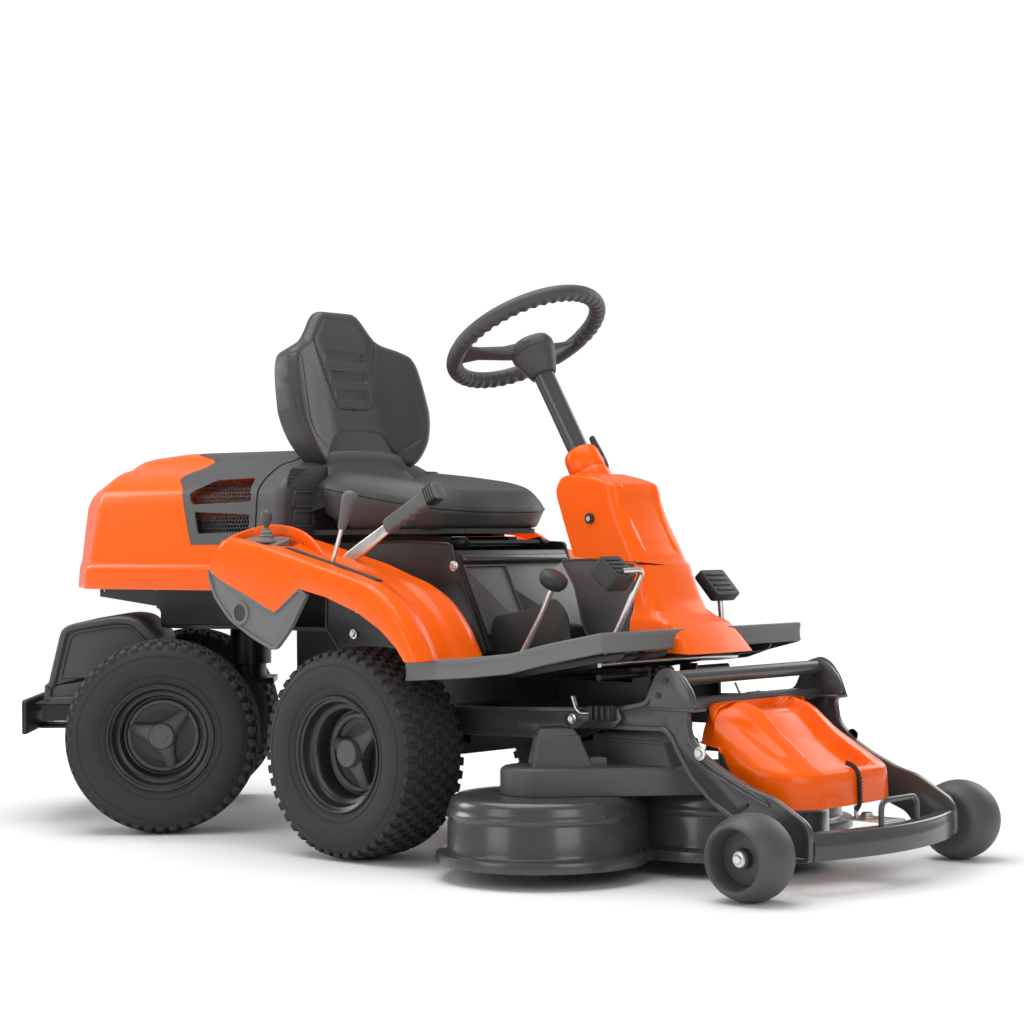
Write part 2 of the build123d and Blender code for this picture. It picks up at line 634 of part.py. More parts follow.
def seat_pan():
    """Moulded pan with slide shoes that run along the frame's rails, and the back's bracket."""
    pan = plan_prism([(-110, SEAT_FRONT + 22), (110, SEAT_FRONT + 22), (180, 60), (190, 330), (-190, 330),
                      (-180, 60)], 624, 634, 20)
    shoes = [block(x - 20, x + 20, 60, 260, 618.4, 624) for x in (-100, 100)]
    bracket = side_prism([(314, 634), (329, 634), (397, 764), (414, 836), (408, 838), (391, 766)], -84, 84)
    return pan + shoes + bracket


def seat_cushion():
    """Seat cushion as one closed soft block, higher towards the back, with a rounded nose."""
    side = [(SEAT_FRONT, SEAT_PAN_Z + 6), (SEAT_FRONT, 676), (SEAT_FRONT + 34, 704), (60, 728), (175, 746),
            (SEAT_REAR - 36, CUSHION_CREST_Z), (SEAT_REAR - 24, 728), (SEAT_REAR - 50, 664),
            (SEAT_REAR - 142, SEAT_PAN_Z + GAP), (SEAT_FRONT + 20, SEAT_PAN_Z + GAP)]
    half = SEAT_WIDTH / 2
    nose = half * 0.36
    plan = [(-nose, SEAT_FRONT), (nose, SEAT_FRONT), (half - 40, -6), (half, 84), (half, 250),
            (half - 60, SEAT_REAR), (-half + 60, SEAT_REAR), (-half, 250), (-half, 84), (-half + 40, -6)]
    return side_prism(side, -300, 300) & plan_prism(plan, 500, 900, 20)


def seat_backrest():
    """Backrest as one closed soft block, leaning back, with stepped shoulders and an arch below."""
    half = SEAT_BACK_WIDTH / 2
    right = [(62, 74), (74, 66), (112, 14), (124, 3), (150, 12), (half - 26, 54), (half - 4, 108), (half - 8, 212),
             (half - 28, 252), (110, 292), (90, 330), (66, 358)]
    outline = right + [(-x, z) for x, z in reversed(right)]
    slab = front_prism(outline, 0, SEAT_BACK_DEPTH, 8)
    return Pos(0, 318, 772) * Rot(-SEAT_RECLINE, 0, 0) * slab


# ---------------------------------------------------------------- hood
def hood_form(wall):
    """Closed outer form of the hood, made smaller by one wall and open below."""
    half = HOOD_HALF_WIDTH - wall
    tail = HOOD_TAIL_HALF_WIDTH - wall
    plan = [(-half, HOOD_FRONT + wall), (half, HOOD_FRONT + wall), (half, 980), (tail, HOOD_REAR - wall),
            (-tail, HOOD_REAR - wall), (-half, 980)]
    low = HOOD_BOTTOM - (10 if wall else 0)
    side = [(HOOD_FRONT + wall, 640), (452 + wall, 766), (416 + wall, 800 - wall), (560, 806 - wall),
            (840, HOOD_TOP - wall), (1000, 796 - wall), (1092 - wall, 764 - wall),
            (HOOD_REAR - 28 - wall, 690), (HOOD_REAR - wall, low), (450 + wall, low), (420 + wall, 560),
            (HOOD_FRONT + wall, 600)]
    front = [(-half, low), (-half, 716), (-half + 60, 796 - wall), (-half + 95, HOOD_TOP - wall),
             (half - 95, HOOD_TOP - wall), (half - 60, 796 - wall), (half, 716), (half, low)]
    return plan_prism(plan, 400, 900) & side_prism(side, -400, 400) & front_prism(front, 100, 1300)


def shroud_zone(inset):
    """Region of the hood that belongs to the grey intake shroud."""
    outline = [(250, 400), (420 - inset, 560), (500, 612 + inset), (624 - inset, 612 + inset),
               (690 - inset, 745), (600 - inset, 900), (250, 900)]
    return side_prism(outline, -500, 500)


def hood_cover():
    """Painted hood shell behind the intake shroud, with its hinge tube at the rear."""
    shell = (hood_form(0.0) - hood_form(COVER)) - shroud_zone(0.0)
    tube = rod((-70, HOOD_HINGE_Y, HOOD_HINGE_Z), (70, HOOD_HINGE_Y, HOOD_HINGE_Z), 18)
    pin = rod((-106, HOOD_HINGE_Y, HOOD_HINGE_Z), (106, HOOD_HINGE_Y, HOOD_HINGE_Z), 10)
    strap = block(-60, 60, HOOD_HINGE_Y, HOOD_REAR - COVER - 0.5, HOOD_HINGE_Z - 6, HOOD_HINGE_Z)
    lug = block(-60, 60, HOOD_REAR - COVER - 6, HOOD_REAR - COVER - 0.2, HOOD_HINGE_Z - 6, HOOD_HINGE_Z + 60)
    return [shell, tube + pin + strap + lug]


def intake_windows(grow):
    """Through openings of the shroud's side, above and below its bar."""
    upper = [(634 + grow, 724), (568, 746 + grow), (447 - grow, 748 + grow), (405 - grow, 694 - grow),
             (628 + grow, 698 - grow)]
    lower = [(616 + grow, 678 + grow), (414 - grow, 666 + grow), (428, 632 - grow), (600, 628 - grow)]
    return side_prism(upper, -400, 400) + side_prism(lower, -400, 400)


def hood_shroud():
    """Grey front of the hood with the engine's air intake windows."""
    shell = (hood_form(0.0) - hood_form(COVER)) & shroud_zone(GAP)
    shell &= block(-400, 400, HOOD_SPLIT + GAP, 1300, 500, 900)
    return shell - intake_windows(0.0)


def seat_back_panel():
    """Fixed grey panel between the seat and the hood, standing on the engine plate."""
    form = hood_form(0.0) - hood_form(COVER)
    shell = form & shroud_zone(GAP) & block(-400, 400, 300, HOOD_SPLIT, 500, 900)
    for side in (-1, 1):
        foot_z = TAIL_Z + 8
        shell += block(side * RAIL_X - 4, side * RAIL_X + 4, HOOD_FRONT + 3, HOOD_FRONT + 26, foot_z, 620)
    return shell


def hood_mesh():
    """Mesh panels behind the intake windows, one per side."""
    half = HOOD_HALF_WIDTH
    panel = block(half - 14, half - COVER - 4 * GAP, HOOD_SPLIT + 4, 618, 626, 700)
    return [panel, mirrored(panel)]


# ---------------------------------------------------------------- rear section
def rear_frame():
    """Rear subframe: kingpin, top plate, axle hangers and the hitch carrier."""
    pin = rod((0, PIVOT_Y, 296), (0, PIVOT_Y, TAIL_Z - 2), KINGPIN_DIAMETER)
    plate = plan_prism([(-70, 670), (70, 670), (160, 800), (170, 1000), (-170, 1000), (-160, 800)], 296, 308)
    hangers = [block(x - 4, x + 4, WHEELBASE - 50, WHEELBASE + 50, AXLE_Z - 20, 296) for x in (-140, 140)]
    tail = [block(x - 4, x + 4, 980, 1170, 223, 258) for x in (-150, 150)]
    drop = [block(x - 4, x + 4, 980, 1000, 223, 300) for x in (-150, 150)]
    boss = rod((0, PIVOT_Y, 308), (0, PIVOT_Y, 337), 70)
    body = pin + plate + boss + hangers + tail + drop
    return body - rod((-200, WHEELBASE, AXLE_Z), (200, WHEELBASE, AXLE_Z), 60)


def transaxle():
    """Hydrostatic transaxle: gear case, axle tubes, input pulley and fixed axle ends."""
    case = block(-95, 95, WHEELBASE - 70, WHEELBASE + 80, 150, 285)
    case = fillet(case.edges().filter_by(Axis.Z), 20)
    tubes = rod((-215, WHEELBASE, AXLE_Z), (215, WHEELBASE, AXLE_Z), 58)
    end = REAR_TRACK / 2 + 22
    shaft = rod((-end, WHEELBASE, AXLE_Z), (end, WHEELBASE, AXLE_Z), AXLE_DIAMETER)
    pump = rod((-45, WHEELBASE + 20, 118), (-45, WHEELBASE + 20, 150), 90)
    return case + tubes + shaft + pump


def weight_cover():
    """Grey moulded cover over the counterweight at the tail."""
    side = [(914, 400), (961, 446), (1000, 452), (1100, 436), (1122, 424), (1150, 308), (1158, 304),
            (1160, 262), (1010, 262), (1010, 330), (914, 330)]
    outer = side_prism(side, -BOX_HALF_WIDTH, BOX_HALF_WIDTH)
    t = COVER
    inner_side = [(914, 396), (962, 441), (1000, 447), (1096, 432), (1116, 420), (1145, 304), (1154, 298),
                  (1156, 250), (1014, 250), (1014, 334), (900, 334), (900, 396)]
    inner = side_prism(inner_side, -BOX_HALF_WIDTH + t, BOX_HALF_WIDTH - t)
    panel = side_prism([(1020, 408), (1100, 404), (1128, 318), (1020, 318)], BOX_HALF_WIDTH - 3, BOX_HALF_WIDTH + 1)
    return outer - inner - panel - mirrored(panel) - block(-176, 176, 900, 1010, 250, 325)


def counterweight():
    """Cast counterweight inside the tail cover, standing on the hitch carrier."""
    return block(-170, 170, 1030, 1120, 262, 400)


def tow_hitch():
    """Folded hitch plate and rear bumper with the towing hole and two bolt holes."""
    face = block(-230, 230, HITCH_Y - HITCH_THICKNESS, HITCH_Y, 200, 274)
    tongue = block(-50, 50, 1110, HITCH_Y + 2, 200, 200 + HITCH_THICKNESS)
    webs = [block(x - 3, x + 3, 1110, HITCH_Y - HITCH_THICKNESS, 200, 258) for x in (-47, 47)]
    plate = block(-145, 145, 1040, HITCH_Y - HITCH_THICKNESS, 258, 258 + SHEET)
    body = plate + face + tongue + webs
    body -= rod((0, 1150, 190), (0, 1150, 215), HITCH_HOLE_DIAMETER)
    for x in (-HITCH_BOLT_SPACING / 2, HITCH_BOLT_SPACING / 2):
        body -= rod((x, HITCH_Y - 20, 236), (x, HITCH_Y + 10, 236), HITCH_BOLT_DIAMETER)
    return body


# ---------------------------------------------------------------- equipment frame and deck
def deck_arm(side):
    """Pressed steel deck arm: rear rail, top bracket and the sloping front leg."""
    outline = [(-64, 288), (-400, 300), (-531, 305), (-600, 318), (-616, 352), (-626, 370), (-650, 379),
               (-678, 368), (-702, 338), (-709, 308), (-692, 300), (-699, 258), (-733, 226), (-779, 200),
               (-828, 178), (-873, 166), (-940, 128), (-952, 112), (-952, 58), (-880, 56), (-850, 96),
               (-800, 115), (-748, 142), (-700, 185), (-672, 225), (-655, 256), (-640, 266), (-411, 262),
               (-400, 240), (-64, 236)]
    arm = side_prism(outline, ARM_X - ARM_THICKNESS / 2, ARM_X + ARM_THICKNESS / 2)
    relief = [(-120, 278), (-420, 290), (-560, 292), (-650, 290), (-676, 262), (-700, 226), (-744, 196),
              (-860, 140), (-850, 124), (-740, 168), (-690, 222), (-652, 274), (-420, 274), (-390, 252), (-120, 250)]
    arm -= side_prism(relief, ARM_X - ARM_THICKNESS, ARM_X + ARM_THICKNESS / 2 - SHEET - 1)
    arm -= rod((200, LIFT_PIVOT_Y, LIFT_PIVOT_Z), (260, LIFT_PIVOT_Y, LIFT_PIVOT_Z),
               LIFT_PIN_DIAMETER + 2 * RUNNING)
    arm += rod((ARM_X, GAUGE_Y, GAUGE_RADIUS), (GAUGE_X + GAUGE_WIDTH / 2 - 10, GAUGE_Y, GAUGE_RADIUS),
               GAUGE_BOLT_DIAMETER)
    spacer = rod((ARM_X, GAUGE_Y, GAUGE_RADIUS), (GAUGE_X - GAUGE_WIDTH / 2 + 3, GAUGE_Y, GAUGE_RADIUS), 28)
    head = rod((GAUGE_X + GAUGE_WIDTH / 2 - 11, GAUGE_Y, GAUGE_RADIUS),
               (GAUGE_X + GAUGE_WIDTH / 2 - 1, GAUGE_Y, GAUGE_RADIUS), 27)
    arm += spacer + head
    return mirrored(arm) if side < 0 else arm


def cross_tube():
    """Round tube that ties the two arm brackets."""
    inner = ARM_X - ARM_THICKNESS / 2
    return rod((-inner, -652, 360), (inner, -652, 360), CROSS_TUBE_DIAMETER)


def front_bar():
    """Curved front bar between the arm ends, with a flat top lip and a carrying loop."""
    inner = ARM_X - ARM_THICKNESS / 2
    outer_arc = ThreePointArc((-inner, BAR_END_Y), (0, BAR_BULGE_Y - 6), (inner, BAR_END_Y))
    inner_arc = ThreePointArc((inner, BAR_END_Y + 6), (0, BAR_BULGE_Y), (-inner, BAR_END_Y + 6))
    ends = [Line((inner, BAR_END_Y), (inner, BAR_END_Y + 6)), Line((-inner, BAR_END_Y + 6), (-inner, BAR_END_Y))]
    wall = extrude(make_face([outer_arc, ends[0], inner_arc, ends[1]]), amount=BAR_TOP - BAR_BOTTOM, dir=(0, 0, 1))
    wall = Pos(0, 0, BAR_BOTTOM) * wall
    lip_arc = ThreePointArc((inner, BAR_END_Y + 30), (0, BAR_BULGE_Y + 26), (-inner, BAR_END_Y + 30))
    lip_ends = [Line((inner, BAR_END_Y), (inner, BAR_END_Y + 30)), Line((-inner, BAR_END_Y + 30), (-inner, BAR_END_Y))]
    lip = extrude(make_face([outer_arc, lip_ends[0], lip_arc, lip_ends[1]]), amount=SHEET, dir=(0, 0, 1))
    lip = Pos(0, 0, BAR_TOP - SHEET) * lip
    handle_y = BAR_BULGE_Y + 14
    handle = bent_rod([(-58, handle_y, BAR_TOP - 2), (-58, handle_y, 150), (58, handle_y, 150),
                       (58, handle_y, BAR_TOP - 2)], 9, 14)
    return wall + lip + handle


def lobe_plan(grow):
    """Plan of the cutting deck: two side lobes, a front lobe and the bridge between them."""
    plan = Circle(FRONT_LOBE_RADIUS + grow).moved(Location((0, FRONT_LOBE_Y)))
    for x in (-SIDE_LOBE_X, SIDE_LOBE_X):
        plan += Circle(SIDE_LOBE_RADIUS + grow).moved(Location((x, SIDE_LOBE_Y)))
    reach = 150 + grow
    rear = SIDE_LOBE_Y + BRIDGE_REACH + grow
    bridge = Polygon((-SIDE_LOBE_X, rear), (SIDE_LOBE_X, rear), (SIDE_LOBE_X, -520), (reach, FRONT_LOBE_Y + 40),
                     (-reach, FRONT_LOBE_Y + 40), (-SIDE_LOBE_X, -520), align=None)
    return plan + bridge


def deck_shell():
    """Pressed deck shell, open below, with an out-turned rim and three spindle bores."""
    height = DECK_TOP_Z - DECK_RIM_Z
    outer = Pos(0, 0, DECK_RIM_Z) * extrude(lobe_plan(0), amount=height, dir=(0, 0, 1))
    inner = Pos(0, 0, DECK_RIM_Z - 5) * extrude(lobe_plan(-DECK_WALL), amount=height + 5 - DECK_WALL, dir=(0, 0, 1))
    rim_ring = extrude(lobe_plan(DECK_FLANGE), amount=6, dir=(0, 0, 1)) - extrude(lobe_plan(-1), amount=6, dir=(0, 0, 1))
    shell = outer - inner + Pos(0, 0, DECK_RIM_Z) * rim_ring
    for x, y in spindle_places():
        shell += rod((x, y, DECK_TOP_Z - 34), (x, y, DECK_TOP_Z + 6), 64)
        shell -= rod((x, y, DECK_TOP_Z - 50), (x, y, DECK_TOP_Z + 20), SPINDLE_DIAMETER + 2 * RUNNING)
    return shell


def spindle_places():
    """Plan positions of the three blade spindles: right, front and left."""
    return [(-SIDE_LOBE_X, SIDE_LOBE_Y), (0, FRONT_LOBE_Y), (SIDE_LOBE_X, SIDE_LOBE_Y)]


def blade_spindle(index):
    """Blade, shaft and pulley that turn together."""
    x, y = spindle_places()[index]
    radius = (FRONT_LOBE_RADIUS if index == 1 else SIDE_LOBE_RADIUS) - DECK_WALL - BLADE_CLEARANCE
    blade = Box(2 * radius, BLADE_WIDTH, 4)
    for side in (-1, 1):
        blade += Pos(side * (radius - 45), BLADE_WIDTH / 2 - 8, 8) * Rot(28, 0, 0) * Box(80, 20, 4)
    blade = blade & Cylinder(radius, 60)
    turn = 35 if index == 1 else -20
    shape = Pos(x, y, DECK_RIM_Z + 24) * Rot(0, 0, turn) * blade
    shape += rod((x, y, DECK_RIM_Z + 20), (x, y, 182), SPINDLE_DIAMETER)
    shape += rod((x, y, DECK_RIM_Z + 14), (x, y, DECK_RIM_Z + 30), 60)
    pulley = rod((x, y, 160), (x, y, 182), PULLEY_DIAMETER)
    groove = rod((x, y, 166), (x, y, 176), PULLEY_DIAMETER + 4) - rod((x, y, 160), (x, y, 182), PULLEY_DIAMETER - 18)
    return shape + (pulley - groove)


def capsule(x0, y0, x1, y1, half, z0, z1):
    """Upright slab with round ends about two plan points."""
    length = hypot(x1 - x0, y1 - y0)
    angle = degrees(atan2(y1 - y0, x1 - x0))
    slot = SlotCenterToCenter(length, 2 * half, rotation=angle)
    face = Plane.XY.offset(z0) * slot.moved(Location(((x0 + x1) / 2, (y0 + y1) / 2)))
    return extrude(face, amount=z1 - z0, dir=(0, 0, 1))


def belt_covers():
    """Moulded belt covers on the deck: one capsule with a tower on each side of the front."""
    covers = []
    half = BELT_COVER_HALF_WIDTH
    for side in (-1, 1):
        x0 = side * SIDE_LOBE_X
        x1 = side * BELT_END_X
        outer = capsule(x0, SIDE_LOBE_Y, x1, BELT_END_Y, half, DECK_TOP_Z, BELT_COVER_TOP)
        inner = capsule(x0, SIDE_LOBE_Y, x1, BELT_END_Y, half - SHEET, DECK_TOP_Z - 1, BELT_COVER_TOP - SHEET)
        tower = block(x0 - 42, x0 + 42, SIDE_LOBE_Y - 48, SIDE_LOBE_Y + 48, BELT_COVER_TOP - 1, TOWER_TOP)
        second = block(side * 206, side * 96, -640, -560, BELT_COVER_TOP - 1, TOWER_TOP - 8)
        cover = outer - inner + tower + second
        cover -= rod((0, FRONT_LOBE_Y, DECK_TOP_Z - 5), (0, FRONT_LOBE_Y, 300), PULLEY_DIAMETER + 12)
        covers.append(cover)
    return covers


def deck_cover_form(wall):
    """Outer form of the painted deck cover, made smaller by one wall."""
    front = DECK_COVER_FRONT + wall
    foot = DECK_COVER_FOOT - (10 if wall else 0)
    lower = 10 if wall else 0
    side = [(-648 - wall, 250), (-652 - wall, 300 - wall), (-690, 308 - wall), (-735, 303 - wall),
            (-782, 260 - wall), (-862, 207 - wall), (front + 4, 197 - wall), (front, 180), (front, foot),
            (-800, foot), (-765, 150 - lower), (-712, 236 - lower), (-660, 242 - lower)]
    half = DECK_COVER_HALF - wall
    across = [(-half, 110), (-half, 215), (-half + 12, 262), (-half + 34, 320), (half - 34, 320), (half - 12, 262),
              (half, 215), (half, 110)]
    plan = [(-half + 20, -640), (-half, -700), (-half, -810), (-half + 18, -850), (-half + 60, front),
            (half - 60, front), (half - 18, -850), (half, -810), (half, -700), (half - 20, -640)]
    form = side_prism(side, -300, 300) & front_prism(across, -1100, -500)
    return form & plan_prism(plan, 100, 400)


def deck_cover():
    """Painted cover over the deck's front, with a sunk centre panel and the strap's notch."""
    top = [(-694, 296), (-735, 288), (-790, 236), (-866, 192)]
    recess = side_prism(top + [(-900, 180), (-900, 340), (-694, 340)], -70, 70)
    notch = block(-6, 6, DECK_COVER_FRONT - 2, DECK_COVER_FRONT + 12, 140, 200)
    floor = side_prism(top + [(y, z - SHEET) for y, z in reversed(top)], -73, 73)
    shell = deck_cover_form(0.0) - deck_cover_form(COVER)
    return shell - recess + (floor & deck_cover_form(0.0)) - notch


def cover_bracket():
    """Plate behind the front bar with the post that the deck cover's strap hooks to and a round stop."""
    plate = block(-30, 36, -972, -876, BAR_TOP, BAR_TOP + SHEET)
    post = rod((6, -884, BAR_TOP + 1), (6, -884, DECK_COVER_FOOT - 3), 8)
    stop = rod((24, -896, BAR_TOP + 1), (24, -896, BAR_TOP + 10), 22)
    return plate + post + stop


# ---------------------------------------------------------------- assembly
def assemble():
    """All pieces by node name, in the modelling frame."""
    pieces = {
        "main_frame": [main_frame(), *pedal_brackets()],
        "front_axle": front_axle(),
        "footplate": footplate(),
        "console_cover": console_cover(),
        "console_base": console_base(),
        "fender_right": fender(-1),
        "fender_left": fender(1),
        "fender_skirts": fender_skirts(),
        "seat_pedestal": [seat_pedestal(), *lever_posts()],
        "control_panel": control_panel(),
        "engine": [engine(), muffler()],
        "fuel_tank": fuel_tank(),
        "battery": battery(),
        "chassis_bolts": chassis_bolts(),
        "column_collar": column_collar(),
        "clamp_knob": clamp_knob(),
        "column_tube": column_tube(),
        "steering_wheel": steering_wheel(),
        "steering_hub": steering_hub(),
        "ignition_lock": ignition_lock(),
        "forward_pedal": forward_pedal(),
        "reverse_pedal": reverse_pedal(),
        "brake_pedal": brake_pedal(),
        "lift_lever": lift_lever(),
        "lift_grip": lift_grip(),
        "height_lever": height_lever(),
        "throttle_lever": throttle_lever(),
        "seat_frame": seat_frame(),
        "seat_pan": seat_pan(),
        "seat_cushion": seat_cushion(),
        "seat_backrest": seat_backrest(),
        "hood_cover": hood_cover(),
        "hood_shroud": hood_shroud(),
        "hood_mesh": hood_mesh(),
        "seat_back_panel": seat_back_panel(),
        "arm_right": deck_arm(-1),
        "arm_left": deck_arm(1),
        "cross_tube": cross_tube(),
        "front_bar": front_bar(),
        "gauge_wheel_right": gauge_wheel(-1),
        "gauge_wheel_left": gauge_wheel(1),
        "deck_shell": deck_shell(),
        "belt_covers": belt_covers(),
        "deck_cover": [deck_cover(), *cover_bracket()],
        "spindle_right": blade_spindle(0),
        "spindle_front": blade_spindle(1),
        "spindle_left": blade_spindle(2),
    }
    rear = {
        "rear_frame": rear_frame(),
        "transaxle": transaxle(),
        "weight_cover": weight_cover(),
        "counterweight": counterweight(),
        "tow_hitch": tow_hitch(),
    }
    for side, name in ((-1, "right"), (1, "left")):
        pieces["tyre_front_" + name] = place_wheel(tyre(), side, FRONT_TRACK, 0.0)
        pieces["rim_front_" + name] = [place_wheel(p, side, FRONT_TRACK, 0.0) for p in rim()]
        rear["tyre_rear_" + name] = place_wheel(tyre(), side, REAR_TRACK, WHEELBASE)
        rear["rim_rear_" + name] = [place_wheel(p, side, REAR_TRACK, WHEELBASE) for p in rim()]
    for name, shape in rear.items():
        group = shape if isinstance(shape, list) else [shape]
        pieces[name] = [turn_rear(s) for s in group]
    return pieces


def solids_of(shape):
    """Flat list of the solids in a shape or a list of shapes."""
    group = shape if isinstance(shape, list) else [shape]
    return [solid for item in group for solid in item.solids()]


def row_shift(pieces):
    """Move that puts the middle of the footprint at the origin, on the ground."""
    boxes = [solid.bounding_box() for shape in pieces.values() for solid in solids_of(shape)]
    x = (min(b.min.X for b in boxes) + max(b.max.X for b in boxes)) / 2
    y = (min(b.min.Y for b in boxes) + max(b.max.Y for b in boxes)) / 2
    z = min(b.min.Z for b in boxes)
    return (-x, -y, -z)


def main():
    os.makedirs(OUT, exist_ok=True)
    pieces = assemble()
    shift = row_shift(pieces)
    for name, shape in pieces.items():
        moved = [Pos(*shift) * solid for solid in solids_of(shape)]
        export_step(Compound(children=moved) if len(moved) > 1 else moved[0], OUT + "/" + name + ".step")
    print("shift", [round(v, 4) for v in shift])


main()
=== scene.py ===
"""Riding lawn mower: camera, studio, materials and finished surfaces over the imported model.

All shapes are worked out in millimetres on the mower's own axes (origin on the ground under the
front axle, front towards -Y, the mower's left towards +X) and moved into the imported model's frame.
"""

import bmesh
import bpy
import numpy as np
from mathutils import Matrix, Vector


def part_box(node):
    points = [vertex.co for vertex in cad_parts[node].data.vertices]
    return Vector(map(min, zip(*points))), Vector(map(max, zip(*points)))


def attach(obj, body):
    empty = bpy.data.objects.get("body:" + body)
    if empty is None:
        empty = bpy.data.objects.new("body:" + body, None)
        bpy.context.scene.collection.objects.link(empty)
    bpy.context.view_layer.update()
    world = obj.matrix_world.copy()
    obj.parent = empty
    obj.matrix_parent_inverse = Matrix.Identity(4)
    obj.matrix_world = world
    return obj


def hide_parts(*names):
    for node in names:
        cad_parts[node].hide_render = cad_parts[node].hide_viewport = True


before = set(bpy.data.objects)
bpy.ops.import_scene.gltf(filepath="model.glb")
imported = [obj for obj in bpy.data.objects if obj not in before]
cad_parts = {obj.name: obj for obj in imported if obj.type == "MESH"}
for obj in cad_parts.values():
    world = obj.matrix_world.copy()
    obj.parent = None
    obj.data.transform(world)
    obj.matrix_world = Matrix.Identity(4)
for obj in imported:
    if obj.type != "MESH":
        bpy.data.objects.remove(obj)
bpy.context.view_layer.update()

axle_low, axle_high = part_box("front_axle")
SHIFT = np.array([(axle_low[0] + axle_high[0]) / 2, (axle_low[1] + axle_high[1]) / 2, 0.0])
REAR_TURN = np.radians(44.0)
REAR_PIVOT = np.array([0.0, 726.0, 0.0])


# ---------------------------------------------------------------- shapes

def turned(points, centre, axis, angle):
    """Points turned about an axis through centre, by the right-hand rule (Rodrigues' formula)."""
    axis = np.asarray(axis, float) / np.linalg.norm(axis)
    p = np.asarray(points, float) - centre
    along = (p @ axis)[..., None] * axis
    side = np.cross(np.broadcast_to(axis, p.shape), p)
    return along + (p - along) * np.cos(angle) + side * np.sin(angle) + centre


def turned_rear(form):
    """A form of the straight rear section, turned to where the steered rear section stands."""
    points, faces = form
    return turned(points, REAR_PIVOT, (0, 0, 1), REAR_TURN), faces


def join(*forms):
    """One form from several: the points follow each other and the faces keep theirs."""
    points, faces, start = [], [], 0
    for form_points, form_faces in forms:
        points.append(np.asarray(form_points, float).reshape(-1, 3))
        faces += [np.asarray(f) + start for f in form_faces]
        start += len(points[-1])
    return np.concatenate(points), faces


def mirrored(form):
    """The form on the other side of the plane x = 0, its faces turned round."""
    points, faces = form
    return np.asarray(points) * (-1, 1, 1), [np.asarray(f)[:, ::-1] for f in faces]


def shifted(form, offset):
    """The form moved by offset."""
    return np.asarray(form[0]) + np.asarray(offset, float), form[1]


def quads(rows, columns, round_rows=False, round_columns=False):
    """Four-sided faces over a grid of rows x columns points, closed round either way if asked."""
    i = np.arange(rows if round_rows else rows - 1)[:, None]
    j = np.arange(columns if round_columns else columns - 1)[None, :]
    k, m = (i + 1) % rows, (j + 1) % columns
    return np.stack([i * columns + j, i * columns + m, k * columns + m, k * columns + j], -1).reshape(-1, 4)


def skin(rings, capped=True, round_rows=False):
    """A skin over closed rings (sections x points x 3), with a flat face over each end ring."""
    rings = np.asarray(rings, float)
    rows, columns = rings.shape[:2]
    faces = [quads(rows, columns, round_rows, True)]
    if capped and not round_rows:
        ring = np.arange(columns)
        faces += [ring[None, ::-1], (ring + (rows - 1) * columns)[None, :]]
    return rings.reshape(-1, 3), faces


def sheet_form(grid, wall):
    """A moulded sheet: the grid of points and a second grid one wall thickness inside it, with closed edges.

    The inner point is the outer one less wall times the unit normal, which is the cross product of the
    differences along the two grid directions.
    """
    grid = np.asarray(grid, float)
    rows, columns = grid.shape[:2]
    normal = np.cross(np.gradient(grid, axis=0), np.gradient(grid, axis=1))
    normal /= np.maximum(np.linalg.norm(normal, axis=-1, keepdims=True), 1e-9)
    inner = grid - wall * normal
    count = rows * columns
    faces = [quads(rows, columns), quads(rows, columns)[:, ::-1] + count]
    edge = np.concatenate([np.arange(columns), columns - 1 + columns * np.arange(1, rows),
                           (rows - 1) * columns + np.arange(columns - 2, -1, -1),
                           columns * np.arange(rows - 2, 0, -1)])
    nxt = np.roll(edge, -1)
    faces.append(np.stack([edge, edge + count, nxt + count, nxt], -1))
    return np.concatenate([grid.reshape(-1, 3), inner.reshape(-1, 3)]), faces


def smooth_line(points, count, closed=False):
    """count points evenly spaced by length on a Catmull-Rom curve through the given ones."""
    p = np.asarray(points, float)
    before, after = (p[-1:], p[:2]) if closed else (2 * p[:1] - p[1:2], 2 * p[-1:] - p[-2:-1])
    q = np.concatenate([before, p, after])
    spans = len(p) if closed else len(p) - 1
    t = np.linspace(0, 1, 24, endpoint=False)[None, :, None]
    a, b, c, d = (q[k:k + spans, None, :] for k in range(4))
    curve = 0.5 * (2 * b + (c - a) * t + (2 * a - 5 * b + 4 * c - d) * t ** 2
                   + (3 * b - a - 3 * c + d) * t ** 3)
    curve = np.concatenate([curve.reshape(-1, p.shape[1]), p[:1] if closed else p[-1:]])
    return resampled(curve, count, closed)


def resampled(line, count, closed=False):
    """count points evenly spaced by length on a run of straight pieces."""
    line = np.asarray(line, float)
    length = np.concatenate([[0], np.cumsum(np.linalg.norm(np.diff(line, axis=0), axis=1))])
    at = np.linspace(0, length[-1], count, endpoint=not closed)
    return np.stack([np.interp(at, length, line[:, k]) for k in range(line.shape[1])], -1)


def rounded_outline(corners, radius, steps=5):
    """The closed outline through flat corners, each replaced by an arc-like curve.

    Each corner P with neighbours A, B becomes the quadratic curve from P + r(A-P)/|A-P| to
    P + r(B-P)/|B-P|, with r no more than 0.48 of either side.
    """
    p = np.asarray(corners, float)
    radius = np.broadcast_to(np.asarray(radius, float), (len(p),))
    back, ahead = np.roll(p, 1, 0) - p, np.roll(p, -1, 0) - p
    lb, la = np.linalg.norm(back, axis=1), np.linalg.norm(ahead, axis=1)
    r = np.minimum(radius, 0.48 * np.minimum(lb, la))[:, None]
    start, end = p + back / lb[:, None] * r, p + ahead / la[:, None] * r
    t = np.linspace(0, 1, steps)[None, :, None]
    curve = (1 - t) ** 2 * start[:, None] + 2 * t * (1 - t) * p[:, None] + t ** 2 * end[:, None]
    return curve.reshape(-1, p.shape[1])


